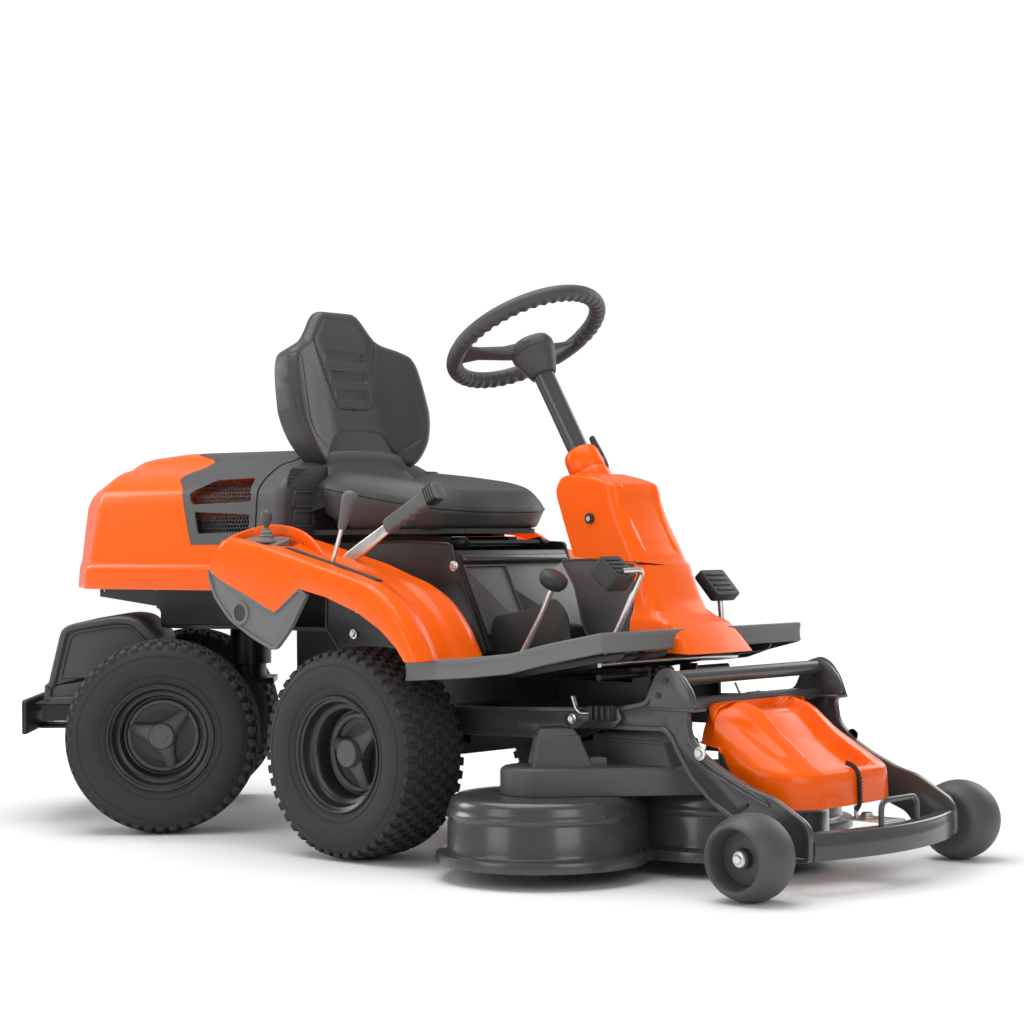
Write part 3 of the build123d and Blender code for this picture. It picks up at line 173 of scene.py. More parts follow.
def inset(outline, distance):
    """A closed flat outline moved inward by distance along its normals (counter-clockwise outlines)."""
    p = np.asarray(outline, float)
    step = np.roll(p, -1, 0) - np.roll(p, 1, 0)
    step /= np.maximum(np.linalg.norm(step, axis=1, keepdims=True), 1e-9)
    return p + distance * np.stack([-step[:, 1], step[:, 0]], -1)


def counter_clockwise(outline):
    """The outline with its area on its left."""
    p = np.asarray(outline, float)
    x, y = p[:, 0], p[:, 1]
    return p if np.sum(x * np.roll(y, -1) - y * np.roll(x, -1)) > 0 else p[::-1]


AXES = {"x": (1, 2, 0), "y": (0, 2, 1), "z": (0, 1, 2)}


def slab(outline, low, high, along="z", round_edge=2.0, steps=3):
    """A plate with rounded rims: rings of the flat outline, inset on a quarter circle at both faces."""
    base = counter_clockwise(outline)
    edge = min(round_edge, 0.45 * (high - low))
    angle = np.linspace(0, np.pi / 2, steps)
    first = [(edge * (1 - np.sin(a)), low + edge * (1 - np.cos(a))) for a in angle]
    last = [(edge * (1 - np.cos(a)), high - edge * (1 - np.sin(a))) for a in angle]
    a, b, c = AXES[along]
    rings = []
    for distance, level in first + last:
        ring = np.zeros((len(base), 3))
        ring[:, [a, b]] = inset(base, distance)
        ring[:, c] = level
        rings.append(ring)
    return skin(rings)


def lathe(profile, centre=(0, 0, 0), axis="x", count=96, closed=True):
    """A profile of (distance along the axis, radius) carried round the axis.

    With closed the profile is a loop, otherwise its ends are capped.
    """
    profile = np.asarray(profile, float)
    angle = np.linspace(0, 2 * np.pi, count, endpoint=False)
    a, b, c = AXES[axis]
    rings = np.zeros((len(profile), count, 3))
    rings[..., c] = profile[:, None, 0]
    rings[..., a] = profile[:, None, 1] * np.cos(angle)
    rings[..., b] = profile[:, None, 1] * np.sin(angle)
    return skin(rings + np.asarray(centre, float), capped=not closed, round_rows=closed)


def swept(path, section, up=(0, 0, 1), scale=None, closed=False):
    """A flat section (across, upward) carried along a path, upright to the given direction.

    At each point, across = along x up and upward = across x along.
    """
    path = np.asarray(path, float)
    section = np.asarray(section, float)
    along = np.roll(path, -1, 0) - np.roll(path, 1, 0) if closed else np.gradient(path, axis=0)
    along /= np.linalg.norm(along, axis=1, keepdims=True)
    across = np.cross(along, np.broadcast_to(np.asarray(up, float), along.shape))
    across /= np.maximum(np.linalg.norm(across, axis=1, keepdims=True), 1e-9)
    upward = np.cross(across, along)
    size = np.ones(len(path)) if scale is None else np.asarray(scale, float)
    size = size[:, None, None] if size.ndim == 1 else size[:, None, :]
    sized = section[None] * size
    rings = path[:, None] + sized[..., :1] * across[:, None] + sized[..., 1:] * upward[:, None]
    return skin(rings, round_rows=closed)


def circle(radius, count=16):
    """Points evenly round a flat circle."""
    angle = np.linspace(0, 2 * np.pi, count, endpoint=False)
    return radius * np.stack([np.cos(angle), np.sin(angle)], -1)


def rounded_box_section(width, height, radius, steps=4):
    """A flat rectangle about the origin with rounded corners."""
    w, h = width / 2, height / 2
    return rounded_outline([(-w, -h), (w, -h), (w, h), (-w, h)], radius, steps)


def bolt_head(centre, axis, size=8.0, height=6.0):
    """A flanged hexagon screw head facing along axis: flange, six flats and a small crown."""
    axis = np.asarray(axis, float) / np.linalg.norm(axis)
    side = np.cross(axis, (0.3, 0.2, 1.0))
    side /= np.linalg.norm(side)
    third = np.cross(axis, side)
    angle = np.linspace(0, 2 * np.pi, 24, endpoint=False)
    flat = size * np.cos(np.pi / 6) / np.cos((angle % (np.pi / 3)) - np.pi / 6)
    radii = [np.full(24, size * 1.35), np.full(24, size * 1.35), flat, flat, flat * 0.86, flat * 0.3]
    levels = [-2.0, 1.2, 2.0, height * 0.85, height, height]
    around = np.cos(angle)[:, None] * side + np.sin(angle)[:, None] * third
    rings = [centre + level * axis + r[:, None] * around for r, level in zip(radii, levels)]
    return skin(rings)


def piece(name, form, material, body, stands_for=(), bevel=0.0, subdivide=0, sharp=38.0):
    """Makes a mesh object from a form in millimetres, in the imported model's frame, riding on a body."""
    points, faces = form
    mesh = bpy.data.meshes.new(name)
    vertices = points * 0.001 + SHIFT
    sizes = np.concatenate([np.full(len(f), f.shape[1]) for f in faces])
    corners = np.concatenate([f.reshape(-1) for f in faces])
    mesh.vertices.add(len(vertices))
    mesh.vertices.foreach_set("co", vertices.astype(np.float32).reshape(-1))
    mesh.loops.add(len(corners))
    mesh.loops.foreach_set("vertex_index", corners.astype(np.int32))
    mesh.polygons.add(len(sizes))
    mesh.polygons.foreach_set("loop_start", np.concatenate([[0], np.cumsum(sizes)[:-1]]).astype(np.int32))
    mesh.update(calc_edges=True)
    mesh.validate()
    whole = bmesh.new()
    whole.from_mesh(mesh)
    bmesh.ops.remove_doubles(whole, verts=whole.verts, dist=1e-6)
    bmesh.ops.recalc_face_normals(whole, faces=whole.faces)
    whole.to_mesh(mesh)
    whole.free()
    mesh.polygons.foreach_set("use_smooth", np.ones(len(mesh.polygons), bool))
    if subdivide == 0:
        mesh.set_sharp_from_angle(angle=np.radians(sharp))
    mesh.materials.append(material)
    made = bpy.data.objects.new(name, mesh)
    bpy.context.scene.collection.objects.link(made)
    if bevel:
        rim = made.modifiers.new("rounded edges", "BEVEL")
        rim.width = bevel * 0.001
        rim.segments = 2
        rim.limit_method = "ANGLE"
        rim.angle_limit = np.radians(34.0)
    if subdivide:
        finer = made.modifiers.new("finer", "SUBSURF")
        finer.levels = subdivide
        finer.render_levels = subdivide
    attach(made, body)
    if stands_for:
        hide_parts(*stands_for)
    return made


# ---------------------------------------------------------------- materials

def sockets(group, inputs, outputs):
    """Names the inputs (name, kind, value) and outputs (name, kind) of a node group."""
    for title, kind, value in inputs:
        made = group.interface.new_socket(name=title, in_out="INPUT", socket_type=kind)
        made.default_value = value
    for title, kind in outputs:
        group.interface.new_socket(name=title, in_out="OUTPUT", socket_type=kind)


COLOUR, NUMBER = "NodeSocketColor", "NodeSocketFloat"


def surface_group():
    """Colour, roughness and height of a moulded, painted or cast surface.

    Colour mixes Base and Shade by a broad noise; roughness is Roughness +- Spread by a second noise;
    height adds a fine grain of Grain Scale to a slow unevenness of Wave Scale, weighted by Wave.
    """
    group = bpy.data.node_groups.new("uneven_surface", "ShaderNodeTree")
    sockets(group, [("Base", COLOUR, (0.5, 0.5, 0.5, 1)), ("Shade", COLOUR, (0.4, 0.4, 0.4, 1)),
                    ("Patch Scale", NUMBER, 6.0), ("Roughness", NUMBER, 0.5), ("Spread", NUMBER, 0.1),
                    ("Grain Scale", NUMBER, 900.0), ("Wave Scale", NUMBER, 60.0), ("Wave", NUMBER, 0.3)],
            [("Colour", COLOUR), ("Roughness", NUMBER), ("Height", NUMBER)])
    node, link = group.nodes.new, group.links.new
    enter, leave = node("NodeGroupInput"), node("NodeGroupOutput")
    place = node("ShaderNodeTexCoord")

    def noise(scale, detail):
        made = node("ShaderNodeTexNoise")
        made.inputs["Detail"].default_value = detail
        link(place.outputs["Object"], made.inputs["Vector"])
        link(enter.outputs[scale], made.inputs["Scale"])
        return made.outputs["Fac"]

    patch, grain, wave = noise("Patch Scale", 4.0), noise("Grain Scale", 2.0), noise("Wave Scale", 2.0)
    mix = node("ShaderNodeMix")
    mix.data_type = "RGBA"
    link(patch, mix.inputs["Factor"])
    link(enter.outputs["Base"], mix.inputs["A"])
    link(enter.outputs["Shade"], mix.inputs["B"])
    link(mix.outputs["Result"], leave.inputs["Colour"])
    centred = node("ShaderNodeMath")
    centred.operation = "SUBTRACT"
    centred.inputs[1].default_value = 0.5
    link(wave, centred.inputs[0])
    rough = node("ShaderNodeMath")
    rough.operation = "MULTIPLY_ADD"
    link(centred.outputs[0], rough.inputs[0])
    link(enter.outputs["Spread"], rough.inputs[1])
    link(enter.outputs["Roughness"], rough.inputs[2])
    link(rough.outputs[0], leave.inputs["Roughness"])
    height = node("ShaderNodeMath")
    height.operation = "MULTIPLY_ADD"
    link(wave, height.inputs[0])
    link(enter.outputs["Wave"], height.inputs[1])
    link(grain, height.inputs[2])
    link(height.outputs[0], leave.inputs["Height"])
    return group


SURFACE = surface_group()


def finish(name, base, shade, roughness, spread=0.08, patch=6.0, grain=900.0, wave_scale=60.0, wave=0.3,
           depth=0.1, metallic=0.0, coat=0.0, coat_roughness=0.1, specular=0.5):
    """A finish with its own colours, gloss, grain and depth of relief."""
    made = bpy.data.materials.new(name)
    made.use_nodes = True
    nodes, link = made.node_tree.nodes, made.node_tree.links.new
    shader = nodes["Principled BSDF"]
    surface = nodes.new("ShaderNodeGroup")
    surface.node_tree = SURFACE
    values = {"Base": (*base, 1), "Shade": (*shade, 1), "Patch Scale": patch, "Roughness": roughness,
              "Spread": spread, "Grain Scale": grain, "Wave Scale": wave_scale, "Wave": wave}
    for title, value in values.items():
        surface.inputs[title].default_value = value
    link(surface.outputs["Colour"], shader.inputs["Base Color"])
    link(surface.outputs["Roughness"], shader.inputs["Roughness"])
    bump = nodes.new("ShaderNodeBump")
    bump.inputs["Strength"].default_value = depth
    bump.inputs["Distance"].default_value = 0.001
    link(surface.outputs["Height"], bump.inputs["Height"])
    link(bump.outputs["Normal"], shader.inputs["Normal"])
    shader.inputs["Metallic"].default_value = metallic
    shader.inputs["Coat Weight"].default_value = coat
    shader.inputs["Coat Roughness"].default_value = coat_roughness
    shader.inputs["Specular IOR Level"].default_value = specular
    return made


def grey(level):
    """A neutral colour of that linear brightness."""
    return (level, level, level)


ORANGE = finish("orange_cover", (0.93, 0.118, 0.0005), (0.88, 0.106, 0.0005), 0.26, 0.06, 3.0, 500, 30, 1.0,
                0.05, coat=0.12, coat_roughness=0.1, specular=0.22)
GREY_MOULDING = finish("grey_moulding", grey(0.150), grey(0.128), 0.55, 0.1, 5.0, 1400, 80, 0.3, 0.22)
DARK_MOULDING = finish("dark_moulding", grey(0.062), grey(0.052), 0.48, 0.1, 5.0, 1400, 80, 0.3, 0.20)
BLACK_MOULDING = finish("black_moulding", grey(0.022), grey(0.017), 0.50, 0.1, 5.0, 1400, 80, 0.3, 0.22)
CHASSIS_PAINT = finish("chassis_paint", grey(0.012), grey(0.009), 0.34, 0.1, 8.0, 500, 60, 0.8, 0.08)
BLACK_SHEET = finish("black_sheet", grey(0.016), grey(0.012), 0.32, 0.1, 8.0, 500, 60, 0.8, 0.08)
DECK_PAINT = finish("deck_paint", grey(0.052), grey(0.044), 0.26, 0.08, 5.0, 500, 40, 1.0, 0.06, coat=0.2)
RIM_PAINT = finish("wheel_paint", grey(0.020), grey(0.015), 0.33, 0.08, 8.0, 500, 50, 0.8, 0.08)
RUBBER = finish("tyre_rubber", grey(0.028), grey(0.022), 0.78, 0.12, 9.0, 700, 90, 0.5, 0.35)
AXLE_STEEL = finish("axle_steel", grey(0.45), grey(0.35), 0.32, 0.15, 30.0, 900, 120, 0.5, 0.10, metallic=1.0)
ZINC = finish("zinc_steel", (0.72, 0.72, 0.70), (0.60, 0.60, 0.59), 0.30, 0.15, 40.0, 900, 120, 0.5, 0.08,
              metallic=1.0)
ENGINE_ALLOY = finish("engine_alloy", grey(0.035), grey(0.028), 0.5, 0.15, 20.0, 700, 120, 0.6, 0.4)
CAST = finish("cast_weight", grey(0.030), grey(0.024), 0.55, 0.12, 15.0, 500, 90, 0.6, 0.4)
KNOB = finish("knob_plastic", grey(0.095), grey(0.082), 0.52, 0.08, 12.0, 1200, 100, 0.3, 0.18)
WHEEL_RIM = finish("wheel_rim_plastic", grey(0.045), grey(0.038), 0.50, 0.08, 9.0, 1300, 100, 0.3, 0.25)
VINYL = finish("seat_vinyl", grey(0.034), grey(0.028), 0.46, 0.08, 7.0, 650, 120, 0.5, 0.30)
CAP_PLASTIC = finish("cap_plastic", grey(0.085), grey(0.074), 0.45, 0.08, 12.0, 1200, 100, 0.3, 0.15)

NODE_FINISH = {
    "gauge_wheel_right": DARK_MOULDING, "gauge_wheel_left": DARK_MOULDING, "seat_frame": CHASSIS_PAINT,
    "seat_pan": BLACK_MOULDING, "engine": ENGINE_ALLOY, "fuel_tank": BLACK_MOULDING,
    "battery": BLACK_MOULDING, "chassis_bolts": ZINC, "main_frame": CHASSIS_PAINT,
    "front_axle": CHASSIS_PAINT, "rear_frame": CHASSIS_PAINT, "transaxle": ENGINE_ALLOY,
    "counterweight": CAST, "spindle_right": AXLE_STEEL, "spindle_front": AXLE_STEEL,
    "spindle_left": AXLE_STEEL,
}
for node_name, node_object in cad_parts.items():
    chosen = NODE_FINISH.get(node_name)
    if chosen is None:
        chosen = RUBBER if node_name.startswith("tyre") else RIM_PAINT
    node_object.data.materials.clear()
    node_object.data.materials.append(chosen)


# ---------------------------------------------------------------- wheels

WHEELS = {"front_right": (-357.5, 0.0, -1, "wheel_front_right", False),
          "front_left": (357.5, 0.0, 1, "wheel_front_left", False),
          "rear_right": (-312.5, 887.0, -1, "wheel_rear_right", True),
          "rear_left": (312.5, 887.0, 1, "wheel_rear_left", True)}
AXLE_HEIGHT = 203.5


def tyre_body():
    """The casing: one loop of (across, radius) carried round the axle, bead, bulged wall, shoulder, crown."""
    outer = np.array([(66, 104), (70, 112), (77, 124), (82.5, 138), (84.6, 152), (84, 165), (80, 178),
                      (73, 187.5), (62, 192.5), (45, 195), (22, 196.4), (0, 196.8)])
    outer = np.concatenate([outer, outer[-2::-1] * (-1, 1)])
    inner = np.array([(-60, 106), (-66, 122), (-72, 140), (-73, 160), (-66, 178), (-40, 184), (0, 186),
                      (40, 184), (66, 178), (73, 160), (72, 140), (66, 122), (60, 106)])
    return lathe(np.concatenate([outer, inner]), count=120)


def crown(across):
    """The radius of the casing across its tread."""
    return np.interp(np.abs(across), [0, 22, 45, 62, 73, 80, 84], [196.8, 196.4, 195, 192.5, 187.5, 178, 165])


def tread_blocks():
    """Raised lugs in rings across the crown, each ring half a pitch on from the last.

    A lug is an outline in (round, across) millimetres, skinned from just under the casing to its top, which
    is 0.86 of its foot; every point is set out at radius crown(across) + level and angle round / radius.
    """
    bow = np.array([(-9.5, -8.5), (-3.0, -6.0), (4.0, -9.5), (9.5, -6.0), (5.2, -0.5), (9.5, 8.5), (3.0, 6.0),
                    (-4.0, 9.5), (-9.5, 6.0), (-5.2, 0.5)])
    shoulder = np.array([(-8.5, -11), (-2, -8), (5, -11), (8.8, -8), (6.0, 0), (8.8, 10), (0, 12), (-8.8, 10),
                         (-5.0, 0)])
    forms = []
    for across, outline, pitch_shift, flip in ((0, bow, 0.0, 1), (21, bow, 0.5, -1), (-21, bow, 0.5, 1),
                                               (42, bow, 0.0, 1), (-42, bow, 0.0, -1),
                                               (64, shoulder, 0.5, 1), (-64, shoulder, 0.5, -1)):
        pitch = 2 * np.pi * 198 / 46
        count = 46
        centre = (np.arange(count) + pitch_shift) * pitch
        foot = outline * (1, flip)
        levels, sizes = np.array([-2.0, 5.4, 6.4]), np.array([1.08, 0.92, 0.82])
        flat = foot[None] * sizes[:, None, None]
        round_ = centre[:, None, None] + flat[None, ..., 0]
        side = across + flat[None, ..., 1] + 0 * centre[:, None, None]
        radius = crown(side) + levels[None, :, None]
        lean = np.where(np.abs(side) > 66, np.sign(side) * levels[None, :, None] * 0.5, 0)
        angle = round_ / 198.0
        points = np.stack([side + lean, radius * np.cos(angle), radius * np.sin(angle)], -1)
        k = len(outline)
        each = np.arange(count)[:, None] * 3 * k
        walls = (quads(3, k, False, True)[None] + each[:, :, None]).reshape(-1, 4)
        tops = np.arange(2 * k, 3 * k)[None] + each
        bottoms = np.arange(k)[None, ::-1] + each
        forms.append((points.reshape(-1, 3), [walls, tops, bottoms]))
    return join(*forms)


def sidewall_rings():
    """Thin raised rings on both walls: small rounded ridges carried round the axle."""
    forms = []
    for side in (-1, 1):
        for radius, across in ((118, 73.5), (128, 79.2), (172, 82.3)):
            section = circle(0.9, 8) + (side * across, radius)
            forms.append(lathe(section, count=120))
    return join(*forms)


def rim_form(side):
    """The pressed wheel: one loop of (across, radius) from the outer flange over the well to the inner one.

    The dish has a bead ledge, a step and a deep well, and a disc stands near its middle.
    """
    wall = [(71, 113.5), (73.5, 112), (74, 109), (72.5, 106.5), (69, 105.5), (66.5, 101), (60, 99.0),
            (50, 97.5), (46, 94), (44, 87), (40, 84.5), (30, 84), (18, 84), (12, 82), (10, 76), (6, 60),
            (5, 34)]
    back = [(1, 34), (2, 60), (5, 79), (8, 86), (-30, 86), (-46, 92), (-60, 98), (-69, 104), (-72.5, 107),
            (-71, 113.5), (-68, 113.5), (-67, 108), (-62, 102.5), (-44, 97), (-34, 90), (-20, 89.5),
            (20, 89.5), (38, 90), (44, 97), (50, 101.5), (62, 103), (67, 108), (68, 113.5)]
    loop = np.array(wall + back)
    return lathe(loop * (side, 1), count=96)


def cap_form(side):
    """The wheel cover: a rim ring, three tapered ribs and a round crown, all lying on the wheel's disc."""
    ring = np.array([(8, 66), (8, 76), (14, 77), (17, 74), (17, 69), (14, 66)])
    cup = np.array([(8, 0.1), (8, 30), (24, 29), (44, 27.5), (48, 25.5), (49.5, 22), (49.5, 20.5),
                    (48.3, 19.5), (48.3, 13), (49.3, 12), (49.3, 0.1)])
    parts = [lathe(ring, count=72), lathe(cup, count=60, closed=True)]
    for k in range(3):
        turn = 2 * np.pi * k / 3 + 0.25
        across = np.linspace(-1, 1, 9)
        out = np.linspace(18, 74, 9)
        half = np.interp(out, [18, 40, 74], [22, 15, 9.5])
        lift = np.interp(out, [18, 40, 74], [38, 30, 17])
        top = np.stack([lift[:, None] - 5 * across[None] ** 4, out[:, None] + 0 * across[None],
                        half[:, None] * across[None]], -1)
        foot = top.copy()
        foot[..., 0] = 8
        rings = np.concatenate([top, foot[:, ::-1]], 1)
        points = rings.reshape(-1, 3)
        points = turned(points, (0, 0, 0), (1, 0, 0), turn)
        parts.append((points, skin(rings)[1]))
    return join(*[(np.asarray(p) * (side, 1, 1), f) for p, f in parts])


def inner_disc(side):
    """The dark disc behind the cover, with a raised bead round it."""
    return lathe(np.array([(-2, 0.1), (-2, 84), (4, 84), (6, 70), (5, 0.1)]) * (side, 1), count=72,
                 closed=True)


BODY, BLOCKS, RINGS = tyre_body(), tread_blocks(), sidewall_rings()
for place, (x, y, side, body, is_rear) in WHEELS.items():
    def placed(form):
        """The form moved to this wheel's place, and turned with the rear section if it belongs there."""
        moved = shifted(form, (x, y, AXLE_HEIGHT))
        return turned_rear(moved) if is_rear else moved
    piece(f"tyre_{place}_treaded", placed(join(BODY, BLOCKS, RINGS)), RUBBER, body, (f"tyre_{place}",))
    piece(f"rim_{place}_dished", placed(join(rim_form(side), inner_disc(side))), RIM_PAINT, body,
          (f"rim_{place}",))
    piece(f"wheel_cap_{place}", placed(cap_form(side)), CAP_PLASTIC, body, (), bevel=1.2)


# ---------------------------------------------------------------- seat

BACK_LEAN = np.radians(13.6)


def on_back(x, up, depth):
    """Points of the backrest's own axes (sideways, up the leaning back, rearward) set in place."""
    c, s = np.cos(BACK_LEAN), np.sin(BACK_LEAN)
    return np.stack([x + 0 * up, 318 + depth * c + up * s, 772 - depth * s + up * c], -1)


def nearest(points, line, closed=False):
    """The distance of each flat point to a run of straight pieces."""
    p = np.asarray(points, float)[..., None, :]
    a = np.asarray(line, float)
    b = np.roll(a, -1, 0) if closed else a[1:]
    a = a if closed else a[:-1]
    step = b - a
    t = np.clip(((p - a) * step).sum(-1) / np.maximum((step ** 2).sum(-1), 1e-9), 0, 1)
    return np.linalg.norm(p - a - t[..., None] * step, axis=-1).min(-1)


def soft_step(value):
    """0 below 0, 1 above 1 and 3v^2 - 2v^3 between."""
    v = np.clip(value, 0, 1)
    return v * v * (3 - 2 * v)


def closed_pair(front, back):
    """A closed skin of two grids with the same rows and columns, joined all round their borders."""
    rows, columns = front.shape[:2]
    count = rows * columns
    faces = [quads(rows, columns), quads(rows, columns)[:, ::-1] + count]
    edge = np.concatenate([np.arange(columns), columns - 1 + columns * np.arange(1, rows),
                           (rows - 1) * columns + np.arange(columns - 2, -1, -1),
                           columns * np.arange(rows - 2, 0, -1)])
    nxt = np.roll(edge, -1)
    faces.append(np.stack([edge, edge + count, nxt + count, nxt], -1))
    return np.concatenate([front.reshape(-1, 3), back.reshape(-1, 3)]), faces


def backrest_form():
    """The padded back: for each x the column runs from the lower outline to the upper one.

    Front depth = bucket + rim rounding + seams + three sunk bars: the bucket is 36 mm deep between the
    wings, the rim falls on a quarter circle of 20 mm, a seam is a groove -d exp(-(distance / 2)^2), and a
    bar is a step of 5 mm over 4 mm of its distance to a rounded box.
    """
    low_x = [0, 60, 66, 73, 113, 118, 124, 150, 176, 190, 202, 206]
    low_z = [74, 74, 72, 66, 12, 5, 3, 14, 44, 66, 100, 128]
    top_x = [0, 52, 60, 66, 72, 90, 100, 112, 178, 188, 196, 202, 206]
    top_z = [359, 359, 357, 350, 338, 316, 300, 290, 258, 244, 216, 176, 128]
    x = 206 * np.sin(np.linspace(-np.pi / 2, np.pi / 2, 181))
    low, top = np.interp(np.abs(x), low_x, low_z), np.interp(np.abs(x), top_x, top_z)
    soft = np.ones(9) / 9
    low = np.convolve(np.pad(low, 4, "edge"), soft, "valid")
    top = np.convolve(np.pad(top, 4, "edge"), soft, "valid")
    top = np.maximum(top, low)
    share = np.linspace(0, 1, 151)
    share = share + 0.06 * np.sin(2 * np.pi * share) * -1
    X = x[:, None] + 0 * share
    Z = low[:, None] + (top - low)[:, None] * share
    rim = np.concatenate([np.stack([x, low], -1), np.stack([x, top], -1)[::-1]])
    flat = np.stack([X, Z], -1)
    gap = np.concatenate([nearest(flat[k:k + 20], rim[::2], True) for k in range(0, len(x), 20)])
    bucket = 36 * (1 - soft_step((np.abs(X) - 62) / 126))
    bucket = np.where(Z > 270, bucket + (34 - bucket) * soft_step((Z - 270) / 40), bucket)
    radius = 20.0
    fall = radius - np.sqrt(np.maximum(radius ** 2 - np.maximum(radius - gap, 0) ** 2, 0))
    depth = bucket * soft_step(gap / 30) + (bucket * (1 - soft_step(gap / 30))) * 0.9 + fall
    right = np.array([(0, 135), (40, 135), (50, 137), (56, 146), (88, 268), (92, 288), (104, 304)])
    wing = np.array([(204, 240), (176, 246), (162, 238), (168, 160), (172, 100), (158, 66), (112, 44),
                     (98, 30)])
    for line, deep in ((right, 3.4), (right * (-1, 1), 3.4), (wing, 1.6), (wing * (-1, 1), 1.6)):
        depth += deep * np.exp(-(nearest(flat, line) / 2.2) ** 2)
    for height, half in ((255, 60), (210, 55), (168, 47)):
        box = rounded_outline([(-half, height - 12), (half, height - 12), (half + 2, height + 12),
                               (-half - 2, height + 12)], 6)
        inside = (np.abs(X) < half + 1) & (np.abs(Z - height) < 12)
        edge = nearest(flat, box[::3], True) * np.where(inside, 1, -1)
        depth += 6.0 * soft_step((edge + 1) / 4) - 2.2 * inside * soft_step((Z - height + 12) / 24)
    front = on_back(X, Z, depth)
    tail = 5.0
    back_fall = tail - np.sqrt(np.maximum(tail ** 2 - np.maximum(tail - gap, 0) ** 2, 0))
    back = on_back(X, Z, 66 - back_fall - 4 * np.exp(-(gap / 14) ** 2))
    return closed_pair(front, back)


def lumbar_form():
    """The upright tongue between cushion and back: a plate bowed across, seen through the back's arch."""
    up = np.linspace(-92, 96, 40)
    half = np.interp(up, [-92, -60, -20, 20, 60, 96], [176, 158, 128, 112, 98, 88])
    across = np.sin(np.linspace(-np.pi / 2, np.pi / 2, 41))
    X = half[:, None] * across
    U = up[:, None] + 0 * across
    bow = 8 * (1 - np.abs(across) ** 2) - 10 * np.abs(across) ** 8
    swell = np.interp(up, [-92, -40, 20, 96], [-26, 10, 32, 40])[:, None] - 0.4 * bow
    front = on_back(X, U, swell)
    back = on_back(X, U, np.maximum(swell + 14, 60 + 0 * swell))
    return closed_pair(front, back)


def cushion_plan(count=160):
    """The cushion's plan outline, a rounded nose and narrower rear, counter-clockwise from the rear left."""
    half = [(0, -56), (60, -55), (112, -46), (160, -18), (190, 30), (204, 90), (206, 160), (205, 240),
            (192, 292), (160, 322), (90, 330), (0, 331)]
    right = smooth_line(half, count // 2 + 1)
    return np.concatenate([right, (right * (-1, 1))[::-1][1:-1]])


def cushion_form():
    """The padded cushion as rings of its plan scaled about (0, 150).

    Top height = crest(y) - 20 (1 - (x / 150)^2) dish, falling to the piping height by the square of how far
    the ring lies past 0.78 of the plan; the wall below draws in to a narrower, lower base.
    """
    plan = cushion_plan()
    middle = np.array([0.0, 150.0])

    def ring(scale, height, narrower=0.0):
        flat = middle + (plan - middle) * scale
        flat = flat + narrower * (middle - flat) / np.linalg.norm(flat - middle, axis=1, keepdims=True)
        return np.concatenate([flat, height(flat)[:, None]], 1)

    def piping(flat):
        return np.interp(flat[:, 1], [-56, -2, 115, 230, 315, 331], [670, 679, 698, 716, 728, 729])

    def top(flat, scale):
        crest = np.interp(flat[:, 1], [-56, -20, 9, 90, 175, 300, 331], [704, 716, 722, 735, 746, 760, 758])
        dish = 24 * np.clip(1 - (flat[:, 0] / 140) ** 2, 0, 1) * soft_step((flat[:, 1] + 40) / 120)
        drop = np.clip((scale - 0.74) / 0.26, 0, 1) ** 2.4
        level = crest - dish
        seam = 2.6 * np.exp(-((np.abs(flat[:, 0]) - 118) / 2.6) ** 2) * soft_step((flat[:, 1] - 20) / 40)
        return level + (piping(flat) - level) * drop - seam * (1 - drop)

    def base(flat):
        return np.interp(flat[:, 1], [-56, 196, 283, 331], [636, 636, 662, 668])

    rings = [ring(s, lambda f: base(f) + 4) for s in (0.02, 0.5)]
    rings += [ring(0.90, base), ring(0.925, lambda f: base(f) + 3), ring(0.94, lambda f: base(f) + 8)]
    for share in (0.25, 0.5, 0.75):
        rings.append(ring(0.94 + 0.05 * share, lambda f: base(f) + 8 + (piping(f) - base(f) - 14) * share))
    rings += [ring(0.990, lambda f: piping(f) - 6), ring(0.985, lambda f: piping(f) - 4),
              ring(0.998, lambda f: piping(f) - 3.4), ring(1.004, lambda f: piping(f) - 1.5),
              ring(1.0, lambda f: piping(f) + 0.5), ring(0.990, lambda f: piping(f) + 0.2)]
    for scale in np.concatenate([np.linspace(0.984, 0.76, 16), np.linspace(0.72, 0.02, 26)]):
        rings.append(ring(scale, lambda f: top(f, scale)))
    return skin(rings)


cushion = piece("seat_cushion_padded", cushion_form(), VINYL, "seat", ("seat_cushion",),
                sharp=60)
backrest = piece("seat_backrest_padded", backrest_form(), VINYL, "seat", ("seat_backrest",),
                 sharp=70)
lumbar = piece("seat_lumbar", lumbar_form(), VINYL, "seat", (), sharp=60)


def seat_tray_form():
    """The moulded tray under the cushion, its wall drawn in below, with a front lip."""
    plan = cushion_plan()
    middle = np.array([0.0, 150.0])
    rings = []
    for scale, level in ((0.1, 626), (0.80, 624), (0.86, 628), (0.895, 640), (0.895, 650), (0.1, 648)):
        flat = middle + (plan - middle) * scale
        lift = np.interp(flat[:, 1], [196, 283, 331], [0, 24, 30])
        rings.append(np.concatenate([flat, (level + lift)[:, None]], 1))
    return skin(rings)


piece("seat_tray", seat_tray_form(), BLACK_MOULDING, "seat", (), sharp=30)


# ---------------------------------------------------------------- painted covers

def level_at(y, pairs):
    """Straight-line reading of (y, value) pairs, given in any order."""
    table = np.array(sorted(pairs))
    return np.interp(y, table[:, 0], table[:, 1])


